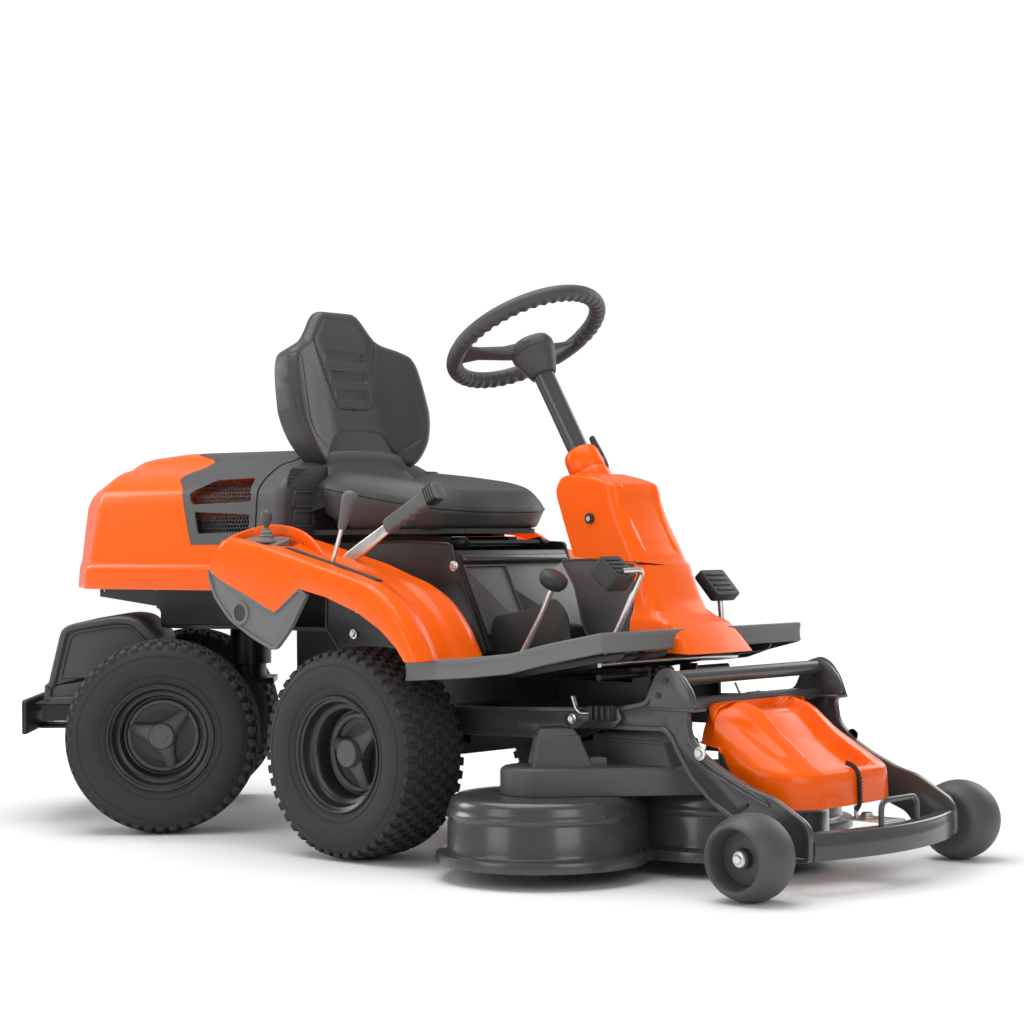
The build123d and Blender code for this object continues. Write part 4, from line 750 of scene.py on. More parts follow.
def console_form():
    """The steering console cover: rings between a rear line and a front line, each a rounded plan.

    Ring k runs from rear point B_k to front point F_k, both (y, z); z goes straight between them, and the
    half width follows a smooth line. The front face is let in by 3.5 mm over a centre panel.
    """
    rear = smooth_line([(-300, 739), (-268, 733), (-256, 722), (-251, 700), (-262, 668), (-275, 634),
                        (-298, 577)], 34)
    front = smooth_line([(-330, 737), (-386, 718), (-397, 704), (-403, 678), (-419, 640), (-439, 604),
                         (-458, 566)], 34)
    width = np.interp(np.arange(34), [0, 4, 8, 33], [50, 70, 75, 80])
    low_rear = np.array([(-447, 565), (-448, 540), (-449, 500), (-450, 478), (-450, 466), (-450, 461),
                         (-450, 456), (-450, 430), (-450, 402)])
    low_front = np.array([(-462, 560), (-470, 540), (-489, 500), (-502, 474), (-520, 462), (-536, 456),
                          (-548, 450), (-574, 424), (-598, 396)])
    low_width = np.array([80.5, 81, 83, 86, 92, 95, 97, 100, 103])
    back, ahead = np.concatenate([rear, low_rear]), np.concatenate([front, low_front])
    half = np.concatenate([width, low_width])
    rings = []
    for (by, bz), (fy, fz), w in zip(back, ahead, half):
        corner = [(-w, by), (-w, fy), (w, fy), (w, by)]
        base = rounded_outline(corner, [5, 20, 20, 5], 9)
        flat = resampled(np.concatenate([base, base[:1]]), 128, True)
        share = np.clip((flat[:, 1] - by) / (fy - by), 0, 1)
        z = bz + (fz - bz) * share
        face = soft_step((share - 0.9) / 0.08) if abs(fy - by) > 60 else soft_step((share - 0.5) / 0.3)
        y = flat[:, 1] - 5.0 * face * (1 - (flat[:, 0] / w) ** 2)
        centre_band = soft_step((50 - np.abs(flat[:, 0])) / 4)
        panel = face * centre_band * soft_step((z - 588) / 5) * soft_step((716 - z) / 5)
        y = y + 3.5 * panel
        rings.append(np.stack([flat[:, 0], y, z], -1))
    return skin(rings)


def column_set(points):
    """Points about the steering column's foot, upright, leaned back 30.3 degrees with the column."""
    return turned(points, (0, 0, 0), (1, 0, 0), -np.radians(30.3)) + (0, -276, 737)


def leaned(form):
    """A form modelled upright on the column's foot, leaned with the column."""
    return column_set(form[0]), form[1]


def fender_form():
    """The right wheel arch cover as a moulded sheet over (along, across).

    Along runs by length on the side's upper line T and its lower line L; across goes up the side wall from L
    to T, round a 14 mm corner, over the top to the inner edge and down its lip. The top is let in by a valley
    ahead of the lever gate and lifted by a ridge beside it, both smooth steps across.
    """
    upper = smooth_line([(318, 606), (306, 615), (290, 617), (240, 608), (201, 601), (124, 582), (60, 567),
                         (4, 553), (-60, 537), (-100, 523), (-146, 495), (-190, 447), (-226, 386)], 90)
    lower = np.array([(356, 556), (330, 540), (300, 527), (240, 505), (200, 488), (170, 476), (160, 474),
                      (150, 480), (94, 520), (16, 504), (-72, 475), (-131, 444), (-172, 412), (-193, 386)])
    match = np.array([0, 0.06, 0.12, 0.22, 0.29, 0.335, 0.35, 0.37, 0.45, 0.55, 0.70, 0.82, 0.91, 1.0])
    share = np.linspace(0, 1, 90)
    low = np.stack([np.interp(share, match, lower[:, 0]), np.interp(share, match, lower[:, 1])], -1)
    step = np.gradient(upper, axis=0)
    step /= np.linalg.norm(step, axis=1, keepdims=True)
    normal = np.stack([step[:, 1], -step[:, 0]], -1)
    normal *= np.where(normal[:, 1:] < 0, -1, 1)
    columns = []
    for s in np.linspace(0, 1, 12):
        place = low + (upper - low) * s * 0.86
        columns.append(np.stack([np.full(90, -438.0 - 2.0 * np.sin(np.pi * s)), place[:, 0], place[:, 1]],
                                -1))
    edge = low + (upper - low) * 0.86
    for a in np.linspace(0.15, 1, 7) * np.pi / 2:
        place = edge + (upper - edge) * np.sin(a)
        columns.append(np.stack([np.full(90, -438.0 + 16 * (1 - np.cos(a))), place[:, 0], place[:, 1]], -1))
    ahead = soft_step((-40 - upper[:, 0]) / 90)
    behind = soft_step((upper[:, 0] + 60) / 80)
    for x in np.linspace(-416, -254, 28):
        u = (x + 440) / 190
        lift = (2.0 * np.exp(-((u - 0.14) / 0.06) ** 2)
                - 9 * soft_step((u - 0.24) / 0.10) * ahead * (1 - 0.9 * soft_step((u - 0.55) / 0.12))
                + 7 * soft_step((u - 0.42) / 0.08) * behind * (1 - soft_step((u - 0.85) / 0.12))
                - 15 * soft_step((u - 0.07) / 0.03) * (1 - soft_step((u - 0.50) / 0.04))
                * soft_step((upper[:, 0] - 190) / 10) * (1 - soft_step((upper[:, 0] - 300) / 8))
                - 8 * soft_step((u - 0.86) / 0.14))
        place = upper + normal * (lift * np.ones(90))[:, None]
        columns.append(np.stack([np.full(90, x), place[:, 0], place[:, 1]], -1))
    for drop in (4, 12, 22):
        place = upper - normal * (8 + drop)
        columns.append(np.stack([np.full(90, -251.0), place[:, 0], place[:, 1]], -1))
    return sheet_form(np.stack(columns, 1), -3.0)


def hood_section(share):
    """The hood's half section by share of its length: (half width, height) from lower edge to crown."""
    line = np.array([(265, 509), (266, 512), (266.5, 556), (264, 561), (259, 564), (258, 570), (254, 640),
                     (249, 700), (246, 716), (240, 727), (226, 742), (206, 758), (188, 770), (168, 778),
                     (150, 782), (132, 788), (118, 798), (100, 805), (60, 809), (0, 811)])
    length = np.concatenate([[0], np.cumsum(np.linalg.norm(np.diff(line, axis=0), axis=1))])
    at = share * length[-1]
    return np.interp(at, length, line[:, 0]), np.interp(at, length, line[:, 1])


HOOD_SHARES = np.concatenate([np.linspace(0, 0.105, 8)[:-1], np.linspace(0.105, 0.135, 7)[:-1],
                              np.linspace(0.135, 1, 64)])


def hood_point(share, y):
    """A point of the hood's skin: the section drawn in towards the tail and let down at the rear.

    Half width is multiplied by 1 ahead of the rear corner, whose y falls from 980 at the lower edge to 940 at
    the shoulder, then by a straight line to 150 / 265 at the tail. The height above 508 is multiplied by a
    smooth line that falls from 1 at y 840 to 0.93 at the tail.
    """
    x, z = hood_section(share)
    corner = np.interp(z, [508, 716, 811], [980, 942, 930])
    tail = np.interp(z, [508, 690, 764, 811], [1153, 1126, 1092, 1060])
    past = np.clip((y - corner) / (tail - corner), 0, 1)
    narrow = 1 - (1 - 150 / 265) * past
    fall = np.interp(y, [350, 430, 560, 840, 1000, 1092, 1160], [0.975, 0.985, 0.99, 1.0, 0.965, 0.90, 0.86])
    crown = soft_step((z - 690) / 110)
    scoop = 9 * np.exp(-((x - 170) / 34) ** 2) * soft_step((y - 640) / 60) * soft_step((1000 - y) / 140)
    z = z - scoop * (z > 700)
    height = 508 + (z - 508) * (1 + (fall - 1) * crown)
    return np.stack([x * narrow, y + 0 * x, height], -1)


def cover_front(z):
    """Where the painted hood meets the grey shroud, as y by height on the section."""
    return np.interp(z, [508, 604, 610, 725, 731, 748, 775, 792, 806, 811],
                     [424, 424, 628, 668, 676, 706, 696, 690, 790, 800])


def both_sides(half):
    """The sheet grid from one side's lower edge over the crown to the other side's."""
    return np.concatenate([half, half[:, ::-1][:, 1:] * (-1, 1, 1)], 1)


def hood_cover_form():
    """The painted hood: section shares across, rows from the shroud's edge to the tail, then the tail's face.

    The face's rows are the last arch drawn in by t towards the middle of its foot, at the y that the arch
    has at the same height.
    """
    rows = []
    _, z = hood_section(HOOD_SHARES)
    tail = np.interp(z, [508, 690, 764, 811], [1153, 1126, 1092, 1060])
    start = cover_front(z)
    corner = np.interp(z, [508, 716, 811], [980, 942, 930])
    for t in np.linspace(0, 1, 40):
        rows.append(hood_point(HOOD_SHARES, start + (corner - start) * t))
    for t in np.linspace(0, 1, 16)[1:]:
        rows.append(hood_point(HOOD_SHARES, corner + (tail - corner) * t))
    last = rows[-1]
    order = np.argsort(last[:, 2])
    for t in np.array([0.985, 0.96, 0.9, 0.8, 0.65, 0.5, 0.3, 0.1, 0.01]):
        height = 508 + (last[:, 2] - 508) * t
        face = np.interp(height, last[order, 2], last[order, 1]) + 3 * min(1, (1 - t) * 8)
        rows.append(np.stack([last[:, 0] * t, face, height], -1))
    return sheet_form(both_sides(np.stack(rows, 0)), -3.5)


def hood_top_strip(start, finish_y, shares):
    """A part of the hood's skin between two lines of y by height, both sides and over the crown."""
    _, z = hood_section(shares)
    a, b = start(z), finish_y(z)
    rows = [hood_point(shares, a + (b - a) * t) for t in np.linspace(0, 1, 30)]
    return both_sides(np.stack(rows, 0))


def shroud_form():
    """The grey intake shroud: the hood's skin ahead of the painted cover, windows cut from it afterwards."""
    shares = np.linspace(0.205, 1, 70)

    def front(z):
        return np.interp(z, [606, 811], [421, 424])

    return sheet_form(hood_top_strip(lambda z: cover_front(np.maximum(z, 611)) - 2, front, shares), 4.0)


def window_cutters():
    """Prisms across the hood for the upper and lower windows, each a rounded outline in (y, z)."""
    upper = rounded_outline([(640, 716), (570, 744), (452, 746), (436, 696), (628, 692)], 7)
    lower = rounded_outline([(618, 676), (440, 668), (440, 632), (604, 629)], 7)
    return join(slab(upper, -400, 400, "x", 0.5), slab(lower, -400, 400, "x", 0.5))


def hexagon_mesh(width, height, pitch=9.6, rim=1.5, thick=1.6):
    """A flat sheet of six-sided holes in (u, v): each cell is a ring between two hexagons, walled inside."""
    columns, rows = int(width / pitch), int(height / (pitch * 0.866))
    u, v = np.meshgrid(np.arange(columns), np.arange(rows))
    centre = np.stack([(u + 0.5 * (v % 2)) * pitch, v * pitch * 0.866], -1).reshape(-1, 2)
    angle = np.radians(30 + 60 * np.arange(6))
    ring = np.stack([np.cos(angle), np.sin(angle)], -1)
    outer, inner = ring * pitch * 0.578, ring * (pitch * 0.578 - rim)
    points = np.concatenate([outer, inner, inner, outer])
    depth = np.repeat([0, 0, thick, thick], 6)
    k = np.arange(6)
    n = (k + 1) % 6
    faces = np.concatenate([np.stack([k, n, n + 6, k + 6], -1), np.stack([k + 6, n + 6, n + 12, k + 12], -1),
                            np.stack([k + 12, n + 12, n + 18, k + 18], -1)])
    all_points = centre[:, None] + points
    all_depth = np.broadcast_to(depth, all_points.shape[:2])
    all_faces = (faces[None] + 24 * np.arange(len(centre))[:, None, None]).reshape(-1, 4)
    return np.concatenate([all_points, all_depth[..., None]], -1).reshape(-1, 3), all_faces


def window_mesh():
    """The mesh panels behind the windows on both sides, leaning in by 1.1 v past v 84 to follow the shroud."""
    points, faces = hexagon_mesh(206, 122)
    inwards = 4 + points[:, 2] + 0.05 * points[:, 1] + 1.1 * np.maximum(points[:, 1] - 84, 0)
    place = np.stack([inwards - 246, 436 + points[:, 0], 628 + points[:, 1]], -1)
    right = (place, [faces])
    return join(right, mirrored(right))


def cut(target, cutter_form):
    """Takes a closed form away from an object with an exact boolean, leaving a plain mesh."""
    tool = piece("cutter", cutter_form, BLACK_MOULDING, "chassis")
    change = target.modifiers.new("windows", "BOOLEAN")
    change.operation = "DIFFERENCE"
    change.object = tool
    change.solver = "EXACT"
    finished = bpy.data.meshes.new_from_object(target.evaluated_get(bpy.context.evaluated_depsgraph_get()))
    target.modifiers.clear()
    target.data = finished
    bpy.data.objects.remove(tool)
    finished.polygons.foreach_set("use_smooth", np.ones(len(finished.polygons), bool))
    finished.set_sharp_from_angle(angle=np.radians(32))
    return target


piece("console_moulded", console_form(), ORANGE, "chassis", ("console_cover",), sharp=30)
boss = lathe([(-26, 40), (-6, 39), (2, 37), (8, 33), (16, 31), (20, 29.5), (21, 27), (-26, 26)], axis="z",
             count=48)
piece("column_boss", leaned(boss), ORANGE, "chassis", ())
fender_right_form = fender_form()
piece("fender_right_moulded", fender_right_form, ORANGE, "chassis", ("fender_right",),
      sharp=42)
piece("fender_left_moulded", mirrored(fender_right_form), ORANGE, "chassis", ("fender_left",),
      sharp=42)
piece("hood_moulded", hood_cover_form(), ORANGE, "hood", ("hood_cover",), sharp=33)
shroud = piece("shroud_moulded", shroud_form(), DARK_MOULDING, "hood", ("hood_shroud",),
               sharp=33)
cut(shroud, window_cutters())
piece("intake_mesh", window_mesh(), BLACK_MOULDING, "hood", ("hood_mesh",))


# ---------------------------------------------------------------- steering

def bent_path(points, radius, steps=8):
    """An open run of straight pieces with each inner corner replaced by a quadratic curve."""
    p = np.asarray(points, float)
    back, ahead = p[:-2] - p[1:-1], p[2:] - p[1:-1]
    lb, la = np.linalg.norm(back, axis=1), np.linalg.norm(ahead, axis=1)
    r = np.minimum(radius, 0.48 * np.minimum(lb, la))[:, None]
    t = np.linspace(0, 1, steps)[None, :, None]
    start, end = p[1:-1] + back / lb[:, None] * r, p[1:-1] + ahead / la[:, None] * r
    curve = (1 - t) ** 2 * start[:, None] + 2 * t * (1 - t) * p[1:-1, None] + t ** 2 * end[:, None]
    return np.concatenate([p[:1], curve.reshape(-1, 3), p[-1:]])


SPOKE_ANGLES = (150, 8)


def rim_form(radius=156.0, grip=17.0, level=326.0):
    """The steering wheel's rim: a ring of rings, its underside scalloped for the fingers.

    At wheel angle a and section angle b the section radius is grip - 2.2 * under(b) * (0.5 + 0.5 cos 46 a),
    where under is 1 on the lower inner side; three bands near the spokes stay smooth.
    """
    a = np.linspace(0, 2 * np.pi, 552, endpoint=False)[:, None]
    b = np.linspace(0, 2 * np.pi, 24, endpoint=False)[None, :]
    under = np.clip(np.cos(b - np.radians(245)), 0, 1) ** 0.7
    joint = np.min(np.abs((a - np.radians(SPOKE_ANGLES)[None, :] + np.pi) % (2 * np.pi) - np.pi), 1)[:, None]
    smooth = soft_step((joint - 0.22) / 0.05)
    size = grip - 3.2 * under * (0.5 + 0.5 * np.cos(46 * a)) ** 0.8 * smooth - 0.7 * (1 - smooth)
    out = radius + size * np.cos(b)
    rings = np.stack([out * np.cos(a), out * np.sin(a), level + size * np.sin(b) + 0 * a], -1)
    return skin(rings, round_rows=True)


def spoke_form(angle):
    """One spoke: a blade from the hub out to the rim, wide at the rim, its lower corners cut back."""
    reach = np.linspace(24, 146, 24)
    wide = np.interp(reach, [24, 60, 110, 146], [21, 15, 19, 34])
    level = np.interp(reach, [24, 60, 110, 146], [300, 305, 318, 325])
    thick = np.interp(reach, [24, 60, 110, 146], [28, 24, 15, 11])
    section = rounded_outline([(-1, -0.6), (-0.72, -1), (0.72, -1), (1, -0.6), (0.92, 0.8), (-0.92, 0.8)],
                              0.3, 4)
    rings = np.stack([reach[:, None] + 0 * section[None, :, 0], wide[:, None] * section[None, :, 0],
                      level[:, None] + 0.5 * thick[:, None] * section[None, :, 1]], -1)
    return turned(skin(rings)[0], (0, 0, 0), (0, 0, 1), np.radians(angle)), skin(rings)[1]


def hub_form():
    """The hub housing: six-cornered rings, narrow on the column and widest under its domed lid."""
    levels = [266, 236, 234, 236, 262, 278, 284, 286, 288, 300, 310, 315, 318]
    sizes = [23, 23, 28, 31, 43, 49, 52, 50, 52, 53, 47, 34, 7]
    corner = np.stack([np.cos(np.radians([30, 90, 150, 210, 270, 330])),
                       np.sin(np.radians([30, 90, 150, 210, 270, 330]))], -1)
    base = rounded_outline(corner, 0.42, 6)
    return skin(np.stack([np.concatenate([base * r, np.full((len(base), 1), z)], 1)
                          for r, z in zip(sizes, levels)]))


piece("wheel_rim", leaned(join(rim_form(), *[spoke_form(a) for a in SPOKE_ANGLES])), WHEEL_RIM,
      "steering_wheel", ("steering_wheel", "steering_hub"), sharp=35)
piece("wheel_hub", leaned(hub_form()), WHEEL_RIM, "steering_wheel", (), sharp=32)
tube_profile = [(-70, 17.6), (262, 17.6), (262, 19.6), (-70, 19.6)]
piece("column_tube_drawn", leaned(lathe([(p, r + 1.4) for p, r in tube_profile], axis="z", count=48)),
      DECK_PAINT, "column", ("column_tube",), sharp=30)
collar_profile = [(4, 19.2), (4, 34), (7, 36.5), (14, 37), (40, 36), (50, 33), (55, 28), (56, 24), (56, 19.2)]
piece("collar_moulded", leaned(lathe(collar_profile, axis="z", count=48)), ORANGE, "chassis",
      ("column_collar",), sharp=36)
wing = rounded_outline([(-7, 14), (7, 14), (9, 28), (9, 46), (6, 92), (-6, 92), (-9, 46), (-9, 28)], 5)
screw = lathe([(37, 5), (58, 5), (58, 9), (50, 11), (46, 5.5), (37, 5.5)], (0, 0, 36), "x", 24)
piece("clamp_wing", leaned(join(slab(wing, 56, 64, "x", 3), screw)), DARK_MOULDING, "clamp_knob",
      ("clamp_knob",))


# ---------------------------------------------------------------- deck cover and front bar

def deck_rim(y):
    """Height of the deck cover's lower edge by y."""
    return level_at(y, [(-900, 133), (-800, 133), (-765, 150), (-735, 190), (-712, 236), (-640, 243)])


def deck_cover_rings():
    """The painted deck cover: plan outlines stacked by height, then drawn in over the top.

    Front line, rear line and half width follow the height; between x -74 and 74 the slope and the top are
    let in by (9, -17) mm through smooth steps, and points below the rim line are lifted to it. The inside is
    the same rings drawn in to 0.972 and lowered 4 mm under the top, so the cover is open below.
    """
    height = np.concatenate([np.linspace(133, 186, 14), np.linspace(189, 214, 14), np.linspace(218, 292, 24),
                             np.linspace(294, 309, 10)])
    front = level_at(height, [(133, -889), (180, -887), (191, -884), (198, -876), (207, -860), (232, -822),
                              (262, -780), (290, -752), (302, -738), (309, -724)])
    rear = level_at(height, [(133, -648), (240, -648), (300, -652), (306, -658), (309, -664)])
    half = level_at(height, [(133, 173), (205, 172), (232, 167), (262, 159), (292, 147), (303, 138), (309,
                                                                                                      126)])
    rings = []
    for z, yf, yr, w in zip(height, front, rear, half):
        plan = [(-w + 22, yr), (-w, yr - 42), (-w, yf + 82), (-w + 16, yf + 34), (-w + 62, yf + 2),
                (0, yf - 3), (w - 62, yf + 2), (w - 16, yf + 34), (w, yf + 82), (w, yr - 42), (w - 22, yr)]
        base = rounded_outline(plan, [14, 30, 40, 40, 40, 80, 40, 40, 40, 30, 14], 6)
        flat = resampled(np.concatenate([base, base[:1]]), 260, True)
        rings.append(np.concatenate([flat, np.full((260, 1), z)], 1))
    middle = np.array([0, -692, 0])
    last = rings[-1]
    for scale, rise in ((0.96, 1.5), (0.9, 2.5), (0.8, 3.5), (0.65, 4), (0.5, 4), (0.3, 4), (0.12, 4),
                        (0.02, 4)):
        rings.append(middle + (last - middle) * (scale, scale, 1) + (0, 0, rise))
    rings = np.stack(rings)
    x, y, z = rings[..., 0], rings[..., 1], rings[..., 2]
    inside = soft_step((76 - np.abs(x) + 10 * soft_step((-800 - y) / 60)) / 9)
    sunk = inside * soft_step((z - 197) / 7) * soft_step((-672 - y) / 12)
    shoulder = (5 * np.exp(-((np.abs(x) - 128) / 12) ** 2) * soft_step((z - 215) / 20)
                * soft_step((290 - z) / 20))
    rings = rings + np.stack([0 * x, 9 * sunk + 0.6 * shoulder, -17 * sunk - shoulder], -1)
    rings[..., 2] = np.maximum(rings[..., 2], deck_rim(rings[..., 1]))
    lowered = 4 * soft_step((rings[..., 2:] - 236) / 30)
    inner = middle + (rings - middle) * (0.972, 0.972, 1) - (0, 0, 1) * lowered
    return np.concatenate([inner[::-1], rings])


piece("deck_cover_moulded", skin(deck_cover_rings()), ORANGE, "equipment_frame", ("deck_cover",),
      sharp=34)
# Black plates on the cover's sides: painted shade standing for its port openings.
port_shade = join(slab(rounded_outline([(-744, 186), (-724, 218), (-717, 230), (-717, 180)], 6), -176, -168, "x"),
             slab(rounded_outline([(-806, 150), (-776, 168), (-742, 176), (-742, 150), (-800, 136)], 9), -177,
                  -168, "x"))
piece("cover_port_shade", join(port_shade, mirrored(port_shade)), BLACK_MOULDING, "equipment_frame", ())
port_tube = lathe([(-226, 0.5), (-226, 13), (-186, 14), (-182, 17), (-174, 17), (-170, 14), (-160, 14),
                   (-160, 0.5)], (0, -782, 158), "x", 40, closed=False)
piece("port_tubes", join(port_tube, mirrored(port_tube)), DARK_MOULDING, "equipment_frame", ())
strap_path = bent_path([(3, -866, 206), (3, -884, 200), (3, -893, 186), (3, -894, 132), (3, -886, 122)], 10)
strap = swept(strap_path, rounded_box_section(9, 3, 1.2), up=(1, 0, 0))
ribs = join(*[slab(rounded_outline([(-4.5, k), (4.5, k), (4.5, k + 3), (-4.5, k + 3)], 1), -898.5, -894, "y",
                   0.8)
              for k in range(136, 184, 6)])
piece("cover_strap", join(strap, shifted(ribs, (3, 0, 0))), BLACK_MOULDING, "equipment_frame", ())
hook = join(lathe([(110, 3.6), (130, 3.6), (130, 0.4), (110, 0.4)], (6, -884, 0), "z", 16),
            lathe([(107, 0.5), (107, 11), (112, 12), (117, 9), (118, 0.5)], (24, -896, 0), "z", 24,
                  closed=False),
            slab([(-30, -968), (36, -968), (36, -876), (-30, -876)], 107, 110, "z", 1))
piece("hook_post", hook, ZINC, "equipment_frame", ())


def bar_line(x):
    """Front face of the bar: a parabola from y -952 at its ends to -998 in the middle."""
    return -952 - 46 * (1 - (x / 226) ** 2)


def front_bar_form():
    """The pressed front bar: an L section with a rounded lip, carried across on the parabola."""
    section = np.array([(0.5, 60), (0, 62), (0, 66), (-2.2, 71), (-2.2, 90), (0, 95), (0, 101), (1.0, 105),
                        (4, 107),
                        (27, 107), (28, 105.5), (27, 104), (6, 104), (3.6, 102), (3.2, 64), (2.6, 60)])
    x = np.linspace(-226, 226, 61)[:, None]
    rings = np.stack([x + 0 * section[None, :, 0], bar_line(x) + section[None, :, 0],
                      section[None, :, 1] + 0 * x], -1)
    return skin(rings)


loop = swept(bent_path([(-58, -978, 104), (-58, -978, 150), (58, -978, 150), (58, -978, 104)], 20),
             circle(5.2, 14), up=(0, 1, 0))
piece("front_bar_pressed", join(front_bar_form(), loop), DECK_PAINT, "equipment_frame", ("front_bar",),
      sharp=33)
barrel = [(-28, 0.5), (-28, 16), (-16, 18), (-14, 45), (-40, 50), (-50, 53), (-51.7, 55), (-50.8, 57.6),
          (-47, 60.5),
          (-40, 65), (-30, 69.4), (-18, 73), (-5, 74.8), (8, 74.9), (22, 73), (33, 69), (42, 63.6),
          (48.6, 57), (51.4, 50), (50.4, 42), (47, 28), (45, 12), (45, 0.5)]
for side, name in ((-1, "right"), (1, "left")):
    place = (side * 337.6, -898.7, 75)
    body = lathe([(-side * u, r) for u, r in barrel], place, "x", 72, closed=False)
    piece("gauge_" + name + "_turned", body, DARK_MOULDING, "gauge_wheel_" + name, ("gauge_wheel_" + name,),
          sharp=40)
    washer = lathe([(side * 29, 0.5), (side * 29, 13), (side * 31, 13), (side * 31, 0.5)], place, "x", 32)
    head = bolt_head(np.add(place, (side * 32, 0, 0)), (side, 0, 0), 8.5, 7)
    piece("gauge_bolt_" + name, join(washer, head), ZINC, "gauge_wheel_" + name, ())


# ---------------------------------------------------------------- footplate

FOOT_EDGE = [(-400, -152), (-399, -200), (-391, -302), (-369, -387), (-345, -459), (-321, -541), (-312, -560)]


def foot_top(y):
    """Height of the footplate by y."""
    return level_at(y, [(-140, 383), (-165, 385), (-302, 394), (-387, 403), (-459, 422), (-541, 439),
                        (-562, 444)])


def footplate_form():
    """The moulded foot tray: closed plan rings from inside its skirt, down, out, up, round and across the
    top.
    """
    right = np.array(FOOT_EDGE)
    outline = np.concatenate([right, (right * (-1, 1))[::-1]])
    base = rounded_outline(outline, [6, 12, 25, 25, 25, 14, 8] + [8, 14, 25, 25, 25, 12, 6], 5)
    flat = counter_clockwise(resampled(np.concatenate([base, base[:1]]), 320, True))
    rings = []
    for distance, drop in ((6, -8), (6, -34), (5, -37), (1.5, -37), (0, -36), (0, -31), (1.2, -29),
                           (1.2, -12),
                           (0, -10), (0, -3), (1.2, -1), (3.5, 0), (12, 0.5), (14, -2.5), (30, -2.5)):
        line = inset(flat, distance)
        rings.append(np.stack([line[:, 0], line[:, 1], foot_top(line[:, 1]) + drop], -1))
    line = inset(flat, 30)
    for scale in np.linspace(0.95, 0.02, 16):
        inner = line * (scale, 1) + (0, 0)
        inner[:, 1] = -350 + (line[:, 1] + 350) * scale
        rings.append(np.stack([inner[:, 0], inner[:, 1], foot_top(inner[:, 1]) - 2.5], -1))
    return skin(rings)


piece("footplate_moulded", footplate_form(), GREY_MOULDING, "chassis", ("footplate",),
      sharp=32)
treads = []
for row in range(9):
    for column in range(4):
        x, y = 138 + 44 * column, -520 + 38 * row
        bar = slab(rounded_outline([(x - 15, y - 3), (x + 15, y - 3), (x + 15, y + 3), (x - 15, y + 3)], 3),
                   -3.4, 0)
        level = foot_top(bar[0][:, 1])
        if x + 18 < np.interp(y, [-541, -459, -387, -302, -200], [321, 345, 369, 391, 399]) - 18:
            treads.append((bar[0] + np.stack([0 * level, 0 * level, level + 0.8], -1), bar[1]))
grip_bars = join(*treads)
piece("foot_treads", join(grip_bars, mirrored(grip_bars)), GREY_MOULDING, "chassis", ())


# ---------------------------------------------------------------- deck, arms and levers

def frame_ring(outline, width, low, high, along="x", edge=1.5):
    """A raised rim that follows a closed outline: six rings from its outer foot over to its inner foot."""
    base = counter_clockwise(outline)
    a, b, c = AXES[along]
    rings = []
    top = high - edge if high > low else high + edge
    for distance, level in ((0, low), (0, top), (edge, high), (width - edge, high), (width, top),
                            (width, low)):
        ring = np.zeros((len(base), 3))
        ring[:, [a, b]] = inset(base, distance)
        ring[:, c] = level
        rings.append(ring)
    return skin(rings, round_rows=True)


def stacked(outline, levels, slide=(0, 0)):
    """Plan rings of one outline at (inset, height) pairs, closed below and above."""
    base = counter_clockwise(outline)
    low, high = levels[0][1], levels[-1][1]
    rings = []
    for distance, z in levels:
        share = (z - low) / (high - low)
        flat = inset(base, distance) + np.asarray(slide) * share
        rings.append(np.concatenate([flat, np.full((len(base), 1), z)], 1))
    return skin(rings)


def along_line(form, start, end):
    """A form modelled upright on the origin, turned in the side plane so that up points from start to end."""
    start, end = np.asarray(start, float), np.asarray(end, float)
    lean = np.arctan2(end[1] - start[1], end[2] - start[2])
    return turned(form[0], (0, 0, 0), (1, 0, 0), -lean) + start, form[1]


def deck_plan(grow):
    """Plan of the deck by angle about (0, -470): the farthest of three circles and the bridge between
    them.
    """
    angle = np.linspace(0, 2 * np.pi, 720, endpoint=False)
    ray = np.stack([np.cos(angle), np.sin(angle)], -1)
    origin = np.array([0.0, -470.0])
    reach = np.zeros(720)
    for x, y, radius in ((-330, -432, 172), (330, -432, 172), (0, -611, 182)):
        to = np.array([x, y]) - origin
        b = ray @ to
        inside = b ** 2 - to @ to + (radius + grow) ** 2
        exit_at = np.where(inside > 0, b + np.sqrt(np.maximum(inside, 0)), 0)
        reach = np.maximum(reach, exit_at)
    back = np.where(ray[:, 1] > 0.01, (-292 + grow + 470) / np.maximum(ray[:, 1], 0.01), 1e9)
    back = np.where((ray[:, 1] > 0.01) & (np.abs(ray[:, 0] * back) <= 330), back, 0)
    front = np.where(ray[:, 1] < -0.01, (-548 - grow + 470) / np.minimum(ray[:, 1], -0.01), 1e9)
    front = np.where((ray[:, 1] < -0.01) & (np.abs(ray[:, 0] * front) <= 260), front, 0)
    reach = np.maximum(reach, np.maximum(back, front))
    kernel = np.ones(5) / 5
    reach = np.convolve(np.concatenate([reach[-2:], reach, reach[:2]]), kernel, mode="valid")
    return origin + ray * reach[:, None]


